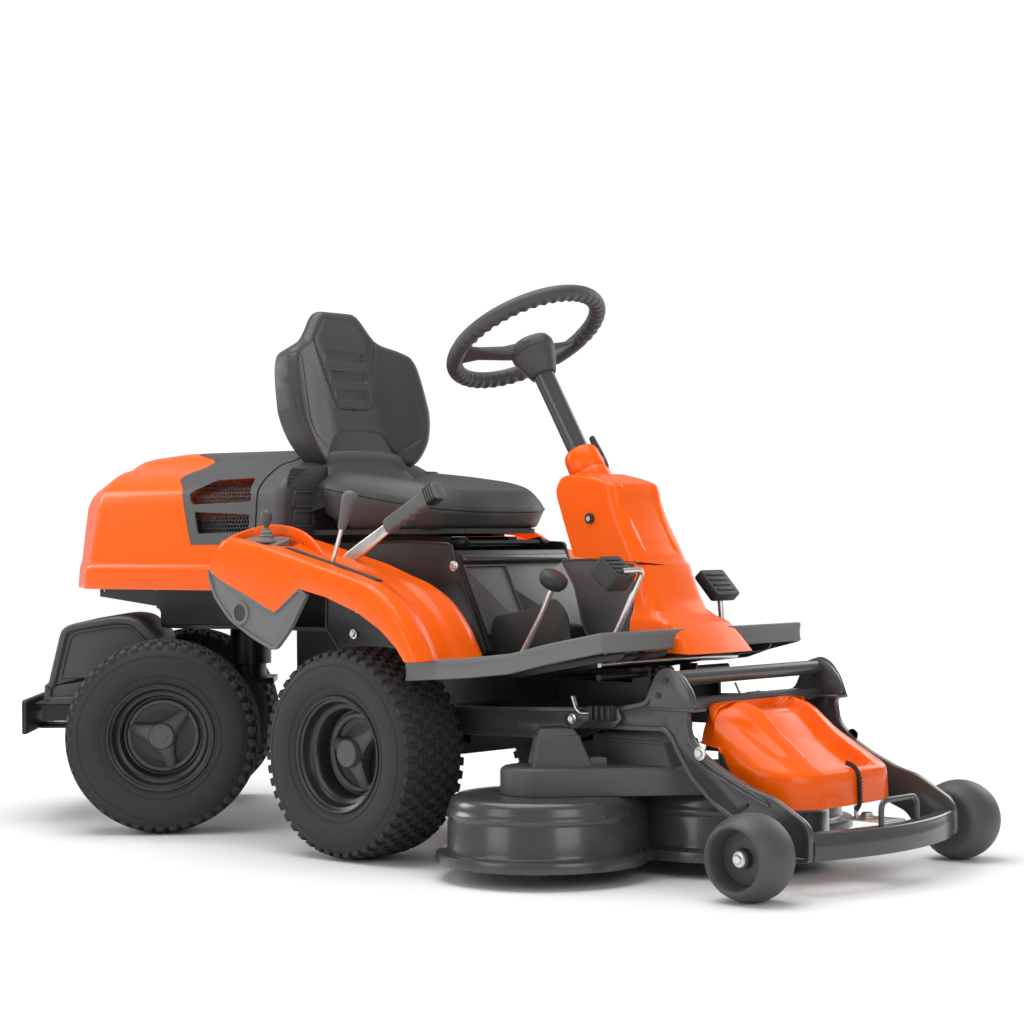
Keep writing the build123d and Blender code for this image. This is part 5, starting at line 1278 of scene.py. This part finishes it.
def deck_shell_form():
    """The pressed deck: plan rings from the inside of its top, down, out over the rim, up the wall and
    over.
    """
    centre = np.array([0.0, -470.0])

    def ring(grow, z, scale=1.0):
        flat = centre + (deck_plan(grow) - centre) * scale
        return np.concatenate([flat, np.full((720, 1), z)], 1)

    rings = [ring(-20, 145, 0.03), ring(-20, 145), ring(-8, 142), ring(-4, 134), ring(-3, 42), ring(16, 42),
             ring(18, 31), ring(20, 29.5), ring(22, 31), ring(22.5, 44), ring(21, 48), ring(17, 50),
             ring(6, 51), ring(2, 54), ring(0.5, 60), ring(0, 104),
             ring(-1.5, 107), ring(-1.5, 110), ring(1.2, 113), ring(1.8, 118), ring(1.0, 122), ring(-2, 125),
             ring(-3, 130), ring(-4.5, 138), ring(-9, 146), ring(-17, 150), ring(-40, 151),
             ring(-60, 151, 0.9), ring(-60, 151, 0.5), ring(-60, 151, 0.03)]
    return skin(rings)


def capsule_plan(start, end, half, count=40):
    """Plan outline of a slot about two points."""
    start, end = np.asarray(start, float), np.asarray(end, float)
    turn = np.arctan2(*(end - start)[::-1])
    angle = np.linspace(-np.pi / 2, np.pi / 2, count) + turn
    cap = np.stack([np.cos(angle), np.sin(angle)], -1) * half
    return np.concatenate([end + cap, start - cap])


def along_slot(along, off):
    """Plan point at a distance along the right belt cover's own line and a distance off it, outwards."""
    return (-330 + 0.726 * along - 0.688 * off, -432 - 0.688 * along - 0.726 * off)


def belt_cover_form():
    """The right belt cover: a slot-shaped ledge and two towers, each ring a mix of its base and its top
    outline.
    """
    slot = capsule_plan((-330, -432), (-118, -633), 76)
    ledge = stacked(slot, [(3, 150), (0, 152), (0, 192), (2, 197), (7, 200.5), (18, 201)])
    near_base = [along_slot(*p) for p in ((-22, 42), (92, 42), (70, -52), (-22, -52))]
    near_top = [along_slot(*p) for p in ((-8, 34), (60, 34), (50, -44), (-8, -44))]
    towers = [slab([along_slot(*p) for p in ((84, 38), (114, 38), (100, -10), (84, -10))], 198, 217, "z", 3)]
    for base, top, high in ((near_base, near_top, 270),
                            ([(-218, -644), (-106, -644), (-106, -468), (-218, -468)],
                             [(-214, -616), (-112, -616), (-112, -482), (-214, -482)], 256)):
        low_ring = counter_clockwise(rounded_outline(base, 9, 5))
        high_ring = counter_clockwise(rounded_outline(top, 8, 5))
        rings = []
        for share, distance in ((0, 0), (0.70, 0), (0.74, -1.5), (0.80, -1.5), (0.83, 1.5), (0.94, 3),
                                (0.985, 6), (1.0, 12)):
            flat = inset(low_ring + (high_ring - low_ring) * share, distance)
            rings.append(np.concatenate([flat, np.full((len(flat), 1), 198 + (high - 198) * share)], 1))
        towers.append(skin(rings))
    return join(ledge, *towers)


ARM_OUTLINE = [(-64, 288), (-400, 300), (-531, 305), (-600, 318), (-616, 352), (-626, 370), (-650, 379),
               (-678, 368),
               (-702, 338), (-709, 308), (-692, 300), (-699, 258), (-733, 226), (-779, 200), (-828, 178),
               (-873, 166), (-940, 128), (-952, 112), (-952, 58), (-880, 56), (-850, 96), (-800, 115),
               (-748, 142),
               (-700, 185), (-672, 225), (-655, 256), (-640, 266), (-411, 262), (-400, 240), (-64, 236)]


def arm_form():
    """The right lifting arm: a rounded plate with a raised rim, a rib and a folded end bracket, with
    its slots made apart.
    """
    outline = rounded_outline(ARM_OUTLINE, 12, 4)
    plate = slab(outline, -238, -226, "x", 1.5)
    rim = frame_ring(outline, 9, -237, -241, "x", 1.2)
    bracket = rounded_outline([(-612, 308), (-619, 356), (-632, 374), (-652, 381), (-676, 372), (-698, 344),
                               (-712, 306)], [6, 14, 12, 14, 14, 14, 3], 5)
    ear = slab(bracket, -244, -238, "x", 1.5)
    flange = slab(rounded_outline([(-244, 303), (-206, 303), (-206, 309), (-244, 309)], 2), -712, -612, "y",
                  1)
    groove = frame_ring(rounded_outline([(-716, 232), (-742, 214), (-800, 186), (-868, 156), (-872, 146),
                                         (-804, 172), (-744, 200), (-712, 222)], 5, 4), 3, -238, -242, "x",
                                         0.8)
    # The slots are thin black plates on the solid arm: painted shade where the openings are.
    slots = [slab(rounded_outline([(y - 14, z + 5), (y + 12, z - 9), (y + 15, z - 4), (y - 11, z + 10)], 3),
                  -242.5, -240, "x", 0.5) for y, z in ((-812, 142), (-858, 118))]
    return join(plate, rim, ear, flange, groove), join(*slots)


piece("deck_pressed", deck_shell_form(), DECK_PAINT, "deck", ("deck_shell",), sharp=38)
belt_right = belt_cover_form()
piece("belt_covers_moulded", join(belt_right, mirrored(belt_right)), DARK_MOULDING, "deck", ("belt_covers",),
      sharp=30)
arm_right, arm_slot_shade = arm_form()
piece("arm_right_plate", arm_right, DECK_PAINT, "equipment_frame", ("arm_right",), sharp=34)
piece("arm_left_plate", mirrored(arm_right), DECK_PAINT, "equipment_frame", ("arm_left",),
      sharp=34)
# Black discs on the end bracket: painted shade standing for its two holes.
ear_hole_shade = [lathe([(-246.2, 0.5), (-246.2, 5.5), (-244, 5.5), (-244, 0.5)], (0, y, z), "x", 20, closed=False)
             for y, z in ((-650, 358), (-633, 330))]
slot_and_hole_shade = join(arm_slot_shade, *ear_hole_shade)
latch_line = rounded_outline([(-409, 286), (-424, 262), (-530, 266), (-552, 284), (-540, 305), (-480, 306)],
                             7)
latch_plate = slab(latch_line, -247, -240, "x", 2)
latch_block = join(slab(rounded_outline([(-538, 280), (-484, 280), (-484, 306), (-538, 309)], 4), -258, -246,
                        "x", 2),
                   *[slab(rounded_outline([(y, 282), (y + 8, 282), (y + 8, 307), (y, 307)], 2), -263, -257,
                          "x", 1.5)
                     for y in (-536, -522, -508, -494)])
piece("latch_plates", join(latch_plate, mirrored(latch_plate)), DECK_PAINT, "equipment_frame", ())
piece("latch_blocks", join(latch_block, mirrored(latch_block)), BLACK_MOULDING, "equipment_frame", ())
hook_bar = swept(bent_path([(-254, -486, 293), (-254, -462, 292), (-254, -451, 300), (-252, -441, 322)], 8),
                 rounded_box_section(9, 5, 2))
hook_bolt = bolt_head(np.array([-246.5, -434, 280]), (-1, 0, 0), 7, 6)
piece("latch_hooks", join(hook_bar, mirrored(hook_bar), hook_bolt, mirrored(hook_bolt)), ZINC,
      "equipment_frame", ())
piece("arm_slot_shade", join(slot_and_hole_shade, mirrored(slot_and_hole_shade)), BLACK_MOULDING, "equipment_frame", ())
arm_bolt = join(bolt_head(np.array([-242.0, -724, 232]), (-1, 0, 0), 8, 7),
                lathe([(-243, 0.5), (-243, 12), (-240, 12), (-240, 0.5)], (0, -724, 232), "x", 24))
piece("arm_bolts", join(arm_bolt, mirrored(arm_bolt)), ZINC, "equipment_frame", ())
tubes = join(lathe([(-226, 0.5), (-226, 13.5), (226, 13.5), (226, 0.5)], (0, -652, 360), "x", 32,
                   closed=False),
             slab(rounded_outline([(-664, 300), (-636, 300), (-636, 322), (-664, 322)], 4), -226, 226, "x",
                  1))
piece("cross_tubes", tubes, DECK_PAINT, "equipment_frame", ("cross_tube",))


def finger_grip(x, start, end, half, high, fingers):
    """A hand grip from start to end in the side plane: rings of a rounded box, waved below by the fingers."""
    t = np.linspace(0, 1, 70)
    start, end = np.asarray(start, float), np.asarray(end, float)
    ahead = (end - start) / np.linalg.norm(end - start)
    over = np.array([-ahead[1], ahead[0]]) * np.sign(ahead[0] * 1.0 + 1e-9)
    section = rounded_outline([(-half, -high), (half, -high), (half, high), (-half, high)], half * 0.55, 6)
    taper = np.interp(t, [0, 0.03, 0.08, 0.93, 0.98, 1.0], [0.72, 0.92, 1, 1.06, 1.02, 0.9])
    wave = 3.0 * (0.5 + 0.5 * np.cos(2 * np.pi * fingers * t)) * (t > 0.1) * (t < 0.92)
    spot = start + (end - start) * t[:, None]
    deep = section[None, :, 1] * taper[:, None] + np.where(section[None, :, 1] < 0, 1, 0) * wave[:, None]
    side = x + section[None, :, 0] * taper[:, None]
    rings = np.stack([side, spot[:, None, 0] + over[0] * deep, spot[:, None, 1] + over[1] * deep], -1)
    return skin(rings)


bar = swept([(-335, 92, 548), (-335, 78, 566), (-335, 20, 598), (-336, -45, 633), (-337, -90, 657)],
            rounded_box_section(7, 27, 2.5), scale=[1.0, 1.0, 0.95, 0.8, 0.7])
piece("lift_bar_flat", bar, ZINC, "lift_lever", ("lift_lever",))
grip = join(finger_grip(-337, (-48, 636), (-160, 692), 12, 15, 5),
            finger_grip(-337, (-156, 690), (-188, 706), 13, 17, 0))
piece("lift_grip_ribbed", grip, KNOB, "lift_lever", ("lift_grip",))
# Thin black bands round the grip's end: painted shade standing for its slits.
slit_shade_bands = [finger_grip(-337, (-160 - 6 * k, 692 + 3 * k), (-162.4 - 6 * k, 693.2 + 3 * k), 14, 18.4, 0)
         for k in range(4)]
piece("lift_grip_slit_shade", join(*slit_shade_bands), BLACK_MOULDING, "lift_lever", ())
stem = lathe([(-14, 4.2), (104, 4.2), (104, 0.4), (-14, 0.4)], axis="z", count=16)
knob = lathe([(88, 0.5), (88, 7.5), (94, 8.5), (118, 11), (142, 14), (154, 14.5), (161, 12), (165, 6),
              (166, 0.5)],
             axis="z", count=32, closed=False)
piece("height_stem", along_line(stem, (-390, 55, 552), (-390, -3, 705)), ZINC, "height_lever",
      ("height_lever",))
piece("height_knob", along_line(knob, (-390, 55, 552), (-390, -3, 705)), KNOB, "height_lever", ())
throttle_profile = [(-8, 0.5), (-8, 4), (38, 4), (44, 6), (52, 10.5), (60, 12), (68, 10.5), (73, 6),
                    (75, 0.5)]
throttle = lathe(throttle_profile, (-389, 240, 600), "z", 32, closed=False)
piece("throttle_ball", throttle, DARK_MOULDING, "throttle_lever", ("throttle_lever",))
boot = lathe([(0, 0.5), (0, 20), (4, 20), (7, 16), (12, 14), (14, 15), (18, 11), (21, 12), (25, 8), (30, 6),
              (30, 0.5)], (-389, 240, 627), "z", 32, closed=False)
panel_plan = rounded_outline([(-430, 204), (-352, 204), (-350, 300), (-366, 320), (-430, 314)], 10)
plate_points, plate_faces = stacked(panel_plan, [(0, -12), (0, -1.5), (1.5, 0), (12, 0)])
slope = 594 + 0.3 * (plate_points[:, 0] + 432) + 0.05 * (plate_points[:, 1] - 204)
plate_points = plate_points + np.stack([0 * slope, 0 * slope, slope], -1)
piece("control_panel_moulded", join((plate_points, plate_faces), shifted(boot, (0, 0, -19))), GREY_MOULDING,
      "chassis", ("control_panel",))
panel_rim = swept(smooth_line([(-426, 330, 600), (-384, 334, 616), (-352, 318, 628), (-344, 270, 634),
                               (-344, 210, 628), (-348, 160, 610), (-356, 110, 574)], 60),
                  rounded_box_section(9, 22, 3.5))
piece("panel_rims", join(panel_rim, mirrored(panel_rim)), ORANGE, "chassis", ())


def pedal_rod(x, points, radius=5.5):
    """A round bent rod in the side plane."""
    path = bent_path([(x, y, z) for y, z in points], 16)
    return swept(path, circle(radius, 14), up=(1, 0, 0))


def tilted_pad(x, y, z, tilt, width, depth, thick):
    """A pad with a rounded rim and three raised bars, tilted about its middle in the side plane."""
    plan = rounded_outline([(-width / 2, -depth / 2), (width / 2, -depth / 2), (width / 2, depth / 2),
                            (-width / 2, depth / 2)], 8)
    body = stacked(plan, [(2, -thick), (0, -thick + 3), (0, -2), (1, -0.4), (3, 0)])
    bars = [slab(rounded_outline([(-width * 0.36, v - 2.5), (width * 0.36, v - 2.5), (width * 0.36, v + 2.5),
                                  (-width * 0.36, v + 2.5)], 2), -1, 2, "z", 0.8)
            for v in np.linspace(-0.3, 0.3, 4) * depth]
    points, faces = join(body, *bars)
    return turned(points, (0, 0, 0), (1, 0, 0), np.radians(tilt)) + (x, y, z), faces


forward_rod = swept(bent_path([(-205, -478, 398), (-205, -512, 446), (-205, -571, 554), (-246, -556, 552)],
                              14),
                    circle(5.5, 14))
piece("forward_rod", forward_rod, ZINC, "forward_pedal", ("forward_pedal",))
piece("forward_pad", tilted_pad(-238, -540, 562, 40, 60, 56, 40), BLACK_MOULDING, "forward_pedal", ())
reverse_rod = pedal_rod(-205, [(-272, 388), (-326, 470), (-350, 516), (-354, 530)])
cup = lathe([(0, 0.5), (0, 14), (4, 22), (12, 27), (20, 28), (26, 26), (30, 20), (31, 0.5)], axis="z",
            count=40, closed=False)
piece("reverse_rod", reverse_rod, ZINC, "reverse_pedal", ("reverse_pedal",))
piece("reverse_cup", along_line(cup, (-205, -346, 520), (-205, -362, 545)), BLACK_MOULDING, "reverse_pedal",
      ())
brake_rod = pedal_rod(205, [(-446, 400), (-440, 470), (-436, 516)])
piece("brake_rod", brake_rod, ZINC, "brake_pedal", ("brake_pedal",))
piece("brake_pad", tilted_pad(205, -440, 524, 48, 78, 66, 22), BLACK_MOULDING, "brake_pedal", ())


# ---------------------------------------------------------------- skirts and rear box

skirt = rounded_outline([(362, 548), (342, 500), (296, 455), (228, 420), (163, 396), (118, 440), (70, 508),
                         (94, 522), (165, 476), (300, 528), (356, 558)],
                         [4, 14, 18, 18, 14, 14, 4, 3, 3, 3, 3], 5)
skirt_form = join(slab(skirt, -438, -429, "x", 2.5), frame_ring(skirt, 7, -437, -441, "x", 1.2),
                  lathe([(-442, 17), (-442, 24), (-436, 25), (-436, 16)], (0, 262, 470), "x", 40))
piece("skirts_moulded", join(skirt_form, mirrored(skirt_form)), GREY_MOULDING, "chassis", ("fender_skirts",),
      sharp=33)
# Black discs set in the skirts: painted shade standing for the holes in them.
hole_shade_disc = lathe([(-441, 0.5), (-441, 17), (-430, 17), (-430, 0.5)], (0, 262, 470), "x", 40, closed=False)
piece("skirt_hole_shade", join(hole_shade_disc, mirrored(hole_shade_disc)), BLACK_MOULDING, "chassis", ())
box_line = rounded_outline([(914, 400), (961, 446), (1000, 452), (1100, 436), (1122, 424), (1150, 308),
                            (1158, 304), (1160, 262), (1010, 262), (1010, 330), (914, 330)],
                           [14, 16, 20, 14, 14, 6, 3, 6, 6, 10, 8], 6)
panel_line = rounded_outline([(930, 350), (932, 392), (966, 430), (1000, 435), (1088, 421), (1106, 408),
                              (1128, 318), (1028, 318), (1024, 348)], [8, 10, 12, 16, 10, 10, 8, 8, 10], 6)
box_form = join(slab(box_line, -184, 184, "x", 8), frame_ring(box_line, 16, -178, -191, "x", 4),
                mirrored(frame_ring(box_line, 16, -178, -191, "x", 4)),
                frame_ring(panel_line, 6, -182, -188, "x", 1.5),
                mirrored(frame_ring(panel_line, 6, -182, -188, "x", 1.5)))
piece("weight_box_moulded", turned_rear(box_form), DARK_MOULDING, "rear_section", ("weight_cover",),
      sharp=33)
hitch_face = rounded_outline([(-232, 200), (232, 200), (232, 274), (-232, 274)], 10)
hitch_form = join(slab(hitch_face, 1190, 1198, "y", 2.5), frame_ring(hitch_face, 10, 1197, 1200, "y", 1),
                  slab(rounded_outline([(-146, 1038), (146, 1038), (146, 1192), (-146, 1192)], 12), 256, 262,
                       "z", 2),
                  slab(rounded_outline([(-50, 1108), (50, 1108), (50, 1194), (-50, 1194)], 12), 199, 207, "z",
                       2))
piece("hitch_plates", turned_rear(hitch_form), CHASSIS_PAINT, "rear_section", ("tow_hitch",))


# ---------------------------------------------------------------- body details

def back_panel_form():
    """The fixed grey moulding behind the seat: the hood's arch carried ahead of it, closed by a front face.

    The face's rows are the first arch drawn in by t towards (0, 612); it leans back 14 mm towards the top.
    """
    shares = np.linspace(0.13, 1, 60)
    rows = [hood_point(shares, y + 0 * shares) * (1, 1, 1) for y in np.linspace(418, 360, 8)]
    first = rows[-1]
    for t, ahead in ((0.992, 4), (0.98, 7), (0.955, 9), (0.92, 9), (0.9, 9), (0.8, 9), (0.6, 9), (0.4, 9),
                     (0.2, 9), (0.02, 9)):
        rows.append(np.stack([first[:, 0] * t, first[:, 1] - ahead + 0 * first[:, 2],
                              612 + (first[:, 2] - 612) * t], -1))
    return sheet_form(both_sides(np.stack(rows, 0)), 3.0)


piece("back_panel_moulded", back_panel_form(), DARK_MOULDING, "chassis", ("seat_back_panel",),
      sharp=33)
tiles = []
for side in (-1, 1):
    for low, high in ((640, 676), (682, 716)):
        tile = rounded_outline([(side * 158, low), (side * 222, low), (side * 214, high), (side * 158, high)],
                               6)
        tiles += [slab(tile, 347, 352, "y", 2), frame_ring(tile, 4, 350, 345, "y", 1)]
piece("back_panel_tiles", join(*tiles), DARK_MOULDING, "chassis", ())
grille_mesh, grille_faces = hexagon_mesh(66, 34)
grille = (np.stack([grille_mesh[:, 0] - 228, 349 - grille_mesh[:, 2], 724 + grille_mesh[:, 1]], -1),
          [grille_faces])
# A black plate behind the mesh: painted shade standing for the dark behind the grille.
grille_back_shade = slab(rounded_outline([(-234, 719), (-158, 719), (-158, 764), (-222, 764)], 8), 348.6, 352, "y",
                   0.5)
piece("front_grille", join(grille, mirrored(grille)), DARK_MOULDING, "chassis", ())
piece("front_grille_shade", join(grille_back_shade, mirrored(grille_back_shade)), BLACK_MOULDING, "chassis", ())

side_plate = rounded_outline([(-158, 392), (-66, 586), (-62, 606), (60, 612), (290, 606), (296, 430),
                              (232, 360), (-110, 360)], 10, 4)
plates = join(slab(side_plate, -176, -169, "x", 2), frame_ring(side_plate, 5, -175, -178, "x", 1))
piece("pedestal_sides", join(plates, mirrored(plates)), BLACK_SHEET, "chassis", ("seat_pedestal",))


def sloping(points_xs):
    """Points given as (across, up the slope, out from it) on the pedestal's leaning front."""
    p = np.asarray(points_xs, float)
    foot, top = np.array([-158.0, 392.0]), np.array([-62.0, 590.0])
    up = (top - foot) / np.linalg.norm(top - foot)
    out = np.array([-up[1], up[0]])
    place = foot + p[..., 1:2] * up + p[..., 2:3] * out
    return np.concatenate([p[..., :1], place], -1)


front_outline = rounded_outline([(-168, 0), (168, 0), (168, 220), (-168, 220)], 6)
front_plate = slab(front_outline, -4, 3, "z", 2)
frame_outline = rounded_outline([(-160, 34), (-34, 34), (-34, 186), (-160, 186)], 5)
front_frame = frame_ring(frame_outline, 5, 2, 7, "z", 1)
ledge_outline = rounded_outline([(-156, 192), (156, 192), (156, 206), (-156, 206)], 4)
front_ledge = slab(ledge_outline, 2, 12, "z", 3)
piece("pedestal_front", (sloping(front_plate[0]), front_plate[1]), BLACK_SHEET, "chassis", ())
trims = join(front_frame, front_ledge)
piece("pedestal_trim", (sloping(trims[0]), trims[1]), DECK_PAINT, "chassis", ())
inner_panel = slab(rounded_outline([(-156, 38), (-38, 38), (-38, 182), (-156, 182)], 4), 2, 4.2, "z", 0.8)
piece("pedestal_panel", (sloping(inner_panel[0]), inner_panel[1]), DARK_MOULDING, "chassis", ())
side_bolts = join(*[bolt_head(np.array([-178.5, y, z]), (-1, 0, 0), 7.5, 6) for y, z in
                    ((-74, 560), (250, 580), (20, 420), (210, 420))])
piece("pedestal_bolts", join(side_bolts, mirrored(side_bolts)), ZINC, "chassis", ())

slot_path = np.array([(-398, y, z + 5.0) for y, z in ((170, 592), (120, 580), (70, 567), (20, 556), (-30,
                                                                                                     543),
                                                     (-84, 529))], float)
# A black strip along the lever's slot: painted shade standing for the opening.
slot_shade_strip = swept(smooth_line(slot_path, 40), rounded_box_section(11, 6, 1.5))
slot_lip = swept(smooth_line(slot_path + (8, 0, -1), 40), rounded_box_section(6, 8, 2))
piece("lever_gate_shade", slot_shade_strip, BLACK_MOULDING, "chassis", ())
piece("lever_gate_lip", slot_lip, DARK_MOULDING, "chassis", ())

base_line = rounded_outline([(-262, 572), (-300, 573), (-448, 574), (-462, 540), (-500, 462), (-520, 424),
                             (-340, 404), (-318, 440), (-296, 520)], 8, 4)
base_half = join(slab(base_line, -76, -66, "x", 2), frame_ring(base_line, 4, -75, -78, "x", 1))
base_fill = slab(inset(counter_clockwise(base_line), 3), -68, 68, "x", 1)
piece("console_base_moulded", join(base_half, mirrored(base_half), base_fill), DARK_MOULDING, "chassis",
      ("console_base",), sharp=33)
inner_wall = rounded_outline([(-136, 386), (-150, 460), (-250, 478), (-310, 500), (-340, 470), (-352, 402)],
                             14)
piece("foot_well_walls", join(slab(inner_wall, -150, -144, "x", 2), mirrored(slab(inner_wall, -150, -144, "x",
                                                                                  2))),
      BLACK_MOULDING, "chassis", ())
screw_cup = lathe([(-79.8, 0.5), (-79.8, 5), (-82, 7), (-83, 9.5), (-82, 10.5), (-76, 10.5), (-76, 0.5)],
                  (0, -340, 650), "x", 32, closed=False)
piece("lock_ring", screw_cup, BLACK_MOULDING, "ignition_lock", ("ignition_lock",))
lock_face = lathe([(-84, 0.5), (-84, 5), (-79, 5), (-79, 0.5)], (0, -340, 650), "x", 24, closed=False)
piece("lock_face", lock_face, ZINC, "ignition_lock", ())

rods = [swept(bent_path(points, 18), circle(radius, 10)) for points, radius in (
    ([(-160, -545, 412), (-150, -420, 384), (-60, -300, 372), (-60, -150, 360)], 4),
    ([(-210, -470, 378), (-120, -470, 380), (120, -470, 380), (215, -470, 378)], 5),
    ([(-290, -520, 405), (-250, -380, 380), (-210, -180, 362)], 3.5),
    ([(40, -540, 415), (60, -420, 392), (120, -260, 372), (150, -120, 360)], 4))]
piece("under_rods", join(*rods), ZINC, "chassis", ())
braces = [slab(rounded_outline([(-548, 404), (-540, 392), (-300, 352), (-150, 346), (-150, 366), (-300, 378)],
                               6),
               x - 3, x + 3, "x", 1) for x in (-226, -100, 100, 226)]
piece("under_braces", join(*braces), CHASSIS_PAINT, "chassis", ())


# ---------------------------------------------------------------- studio

def camera_frame():
    """The camera's place and turn: it looks along azimuth -48.2, elevation -0.77, rolled -0.45 degrees."""
    a, e, r = np.radians([-48.2, -0.77, -0.45])
    back = Vector((np.sin(a) * np.cos(e), -np.cos(a) * np.cos(e), np.sin(e)))
    right = Vector((np.cos(a), np.sin(a), 0))
    up = right.cross(-back)
    across = np.cos(r) * right + np.sin(r) * up
    upright = -np.sin(r) * right + np.cos(r) * up
    matrix = Matrix((across, upright, back)).transposed().to_4x4()
    spot = np.array([-3445.4, -3149.6, 605.0]) * 0.001 + SHIFT
    matrix.translation = Vector(spot)
    return matrix


camera_data = bpy.data.cameras.new("studio_camera")
camera_data.sensor_width = 36.0
camera_data.lens = 80.06
camera = bpy.data.objects.new("studio_camera", camera_data)
bpy.context.scene.collection.objects.link(camera)
camera.matrix_world = camera_frame()
bpy.context.scene.camera = camera


def soft_light(name, spot, aim, size, power):
    """A square soft light at spot, facing aim."""
    data = bpy.data.lights.new(name, "AREA")
    data.size = size
    data.energy = power
    made = bpy.data.objects.new(name, data)
    made.location = Vector(spot)
    made.rotation_euler = (Vector(aim) - Vector(spot)).to_track_quat("-Z", "Y").to_euler()
    bpy.context.scene.collection.objects.link(made)
    return made


soft_light("top_softbox", (-0.3, 0.2, 3.6), (0, 0, 0.5), 3.4, 120)
soft_light("front_softbox", (-1.6, -4.4, 1.9), (0, 0, 0.5), 2.2, 42)
soft_light("side_softbox", (-4.6, 0.6, 1.7), (0, 0.3, 0.5), 2.2, 36)
soft_light("rear_softbox", (-1.5, 4.4, 2.2), (0, 0.8, 0.6), 1.8, 60)
soft_light("left_softbox", (4.2, -0.6, 2.0), (0, 0, 0.5), 2.2, 40)

world = bpy.data.worlds.new("studio_air")
world.use_nodes = True
backdrop = world.node_tree.nodes["Background"]
backdrop.inputs["Color"].default_value = (1, 1, 1, 1)
seen = world.node_tree.nodes.new("ShaderNodeLightPath")
strength = world.node_tree.nodes.new("ShaderNodeMapRange")
strength.inputs["To Min"].default_value = 0.42
strength.inputs["To Max"].default_value = 1.05
world.node_tree.links.new(seen.outputs["Is Camera Ray"], strength.inputs["Value"])
world.node_tree.links.new(strength.outputs["Result"], backdrop.inputs["Strength"])
bpy.context.scene.world = world
bpy.context.scene.view_settings.view_transform = "Standard"

floor_mesh = bpy.data.meshes.new("studio_floor")
floor_mesh.from_pydata([(-30, -30, 0), (30, -30, 0), (30, 30, 0), (-30, 30, 0)], [], [(0, 1, 2, 3)])
paper = finish("studio_floor", grey(0.92), grey(0.90), 0.6, 0.05, 1.0, 60, 5, 0.3, 0.01)


def glow_outwards(material, start, end, strongest):
    """Adds a white glow to a floor, from nothing at radius start to its strongest at radius end."""
    tree = material.node_tree
    shader = next(n for n in tree.nodes if n.type == "BSDF_PRINCIPLED")
    place = tree.nodes.new("ShaderNodeTexCoord")
    radius = tree.nodes.new("ShaderNodeVectorMath")
    radius.operation = "LENGTH"
    tree.links.new(place.outputs["Object"], radius.inputs[0])
    level = tree.nodes.new("ShaderNodeMapRange")
    level.interpolation_type = "SMOOTHSTEP"
    level.inputs["From Min"].default_value = start
    level.inputs["From Max"].default_value = end
    level.inputs["To Max"].default_value = strongest
    tree.links.new(radius.outputs["Value"], level.inputs["Value"])
    tree.links.new(level.outputs["Result"], shader.inputs["Emission Strength"])
    shader.inputs["Emission Color"].default_value = (1, 1, 1, 1)


glow_outwards(paper, 1.0, 3.2, 0.62)
floor_mesh.materials.append(paper)
floor = bpy.data.objects.new("studio_floor", floor_mesh)
bpy.context.scene.collection.objects.link(floor)
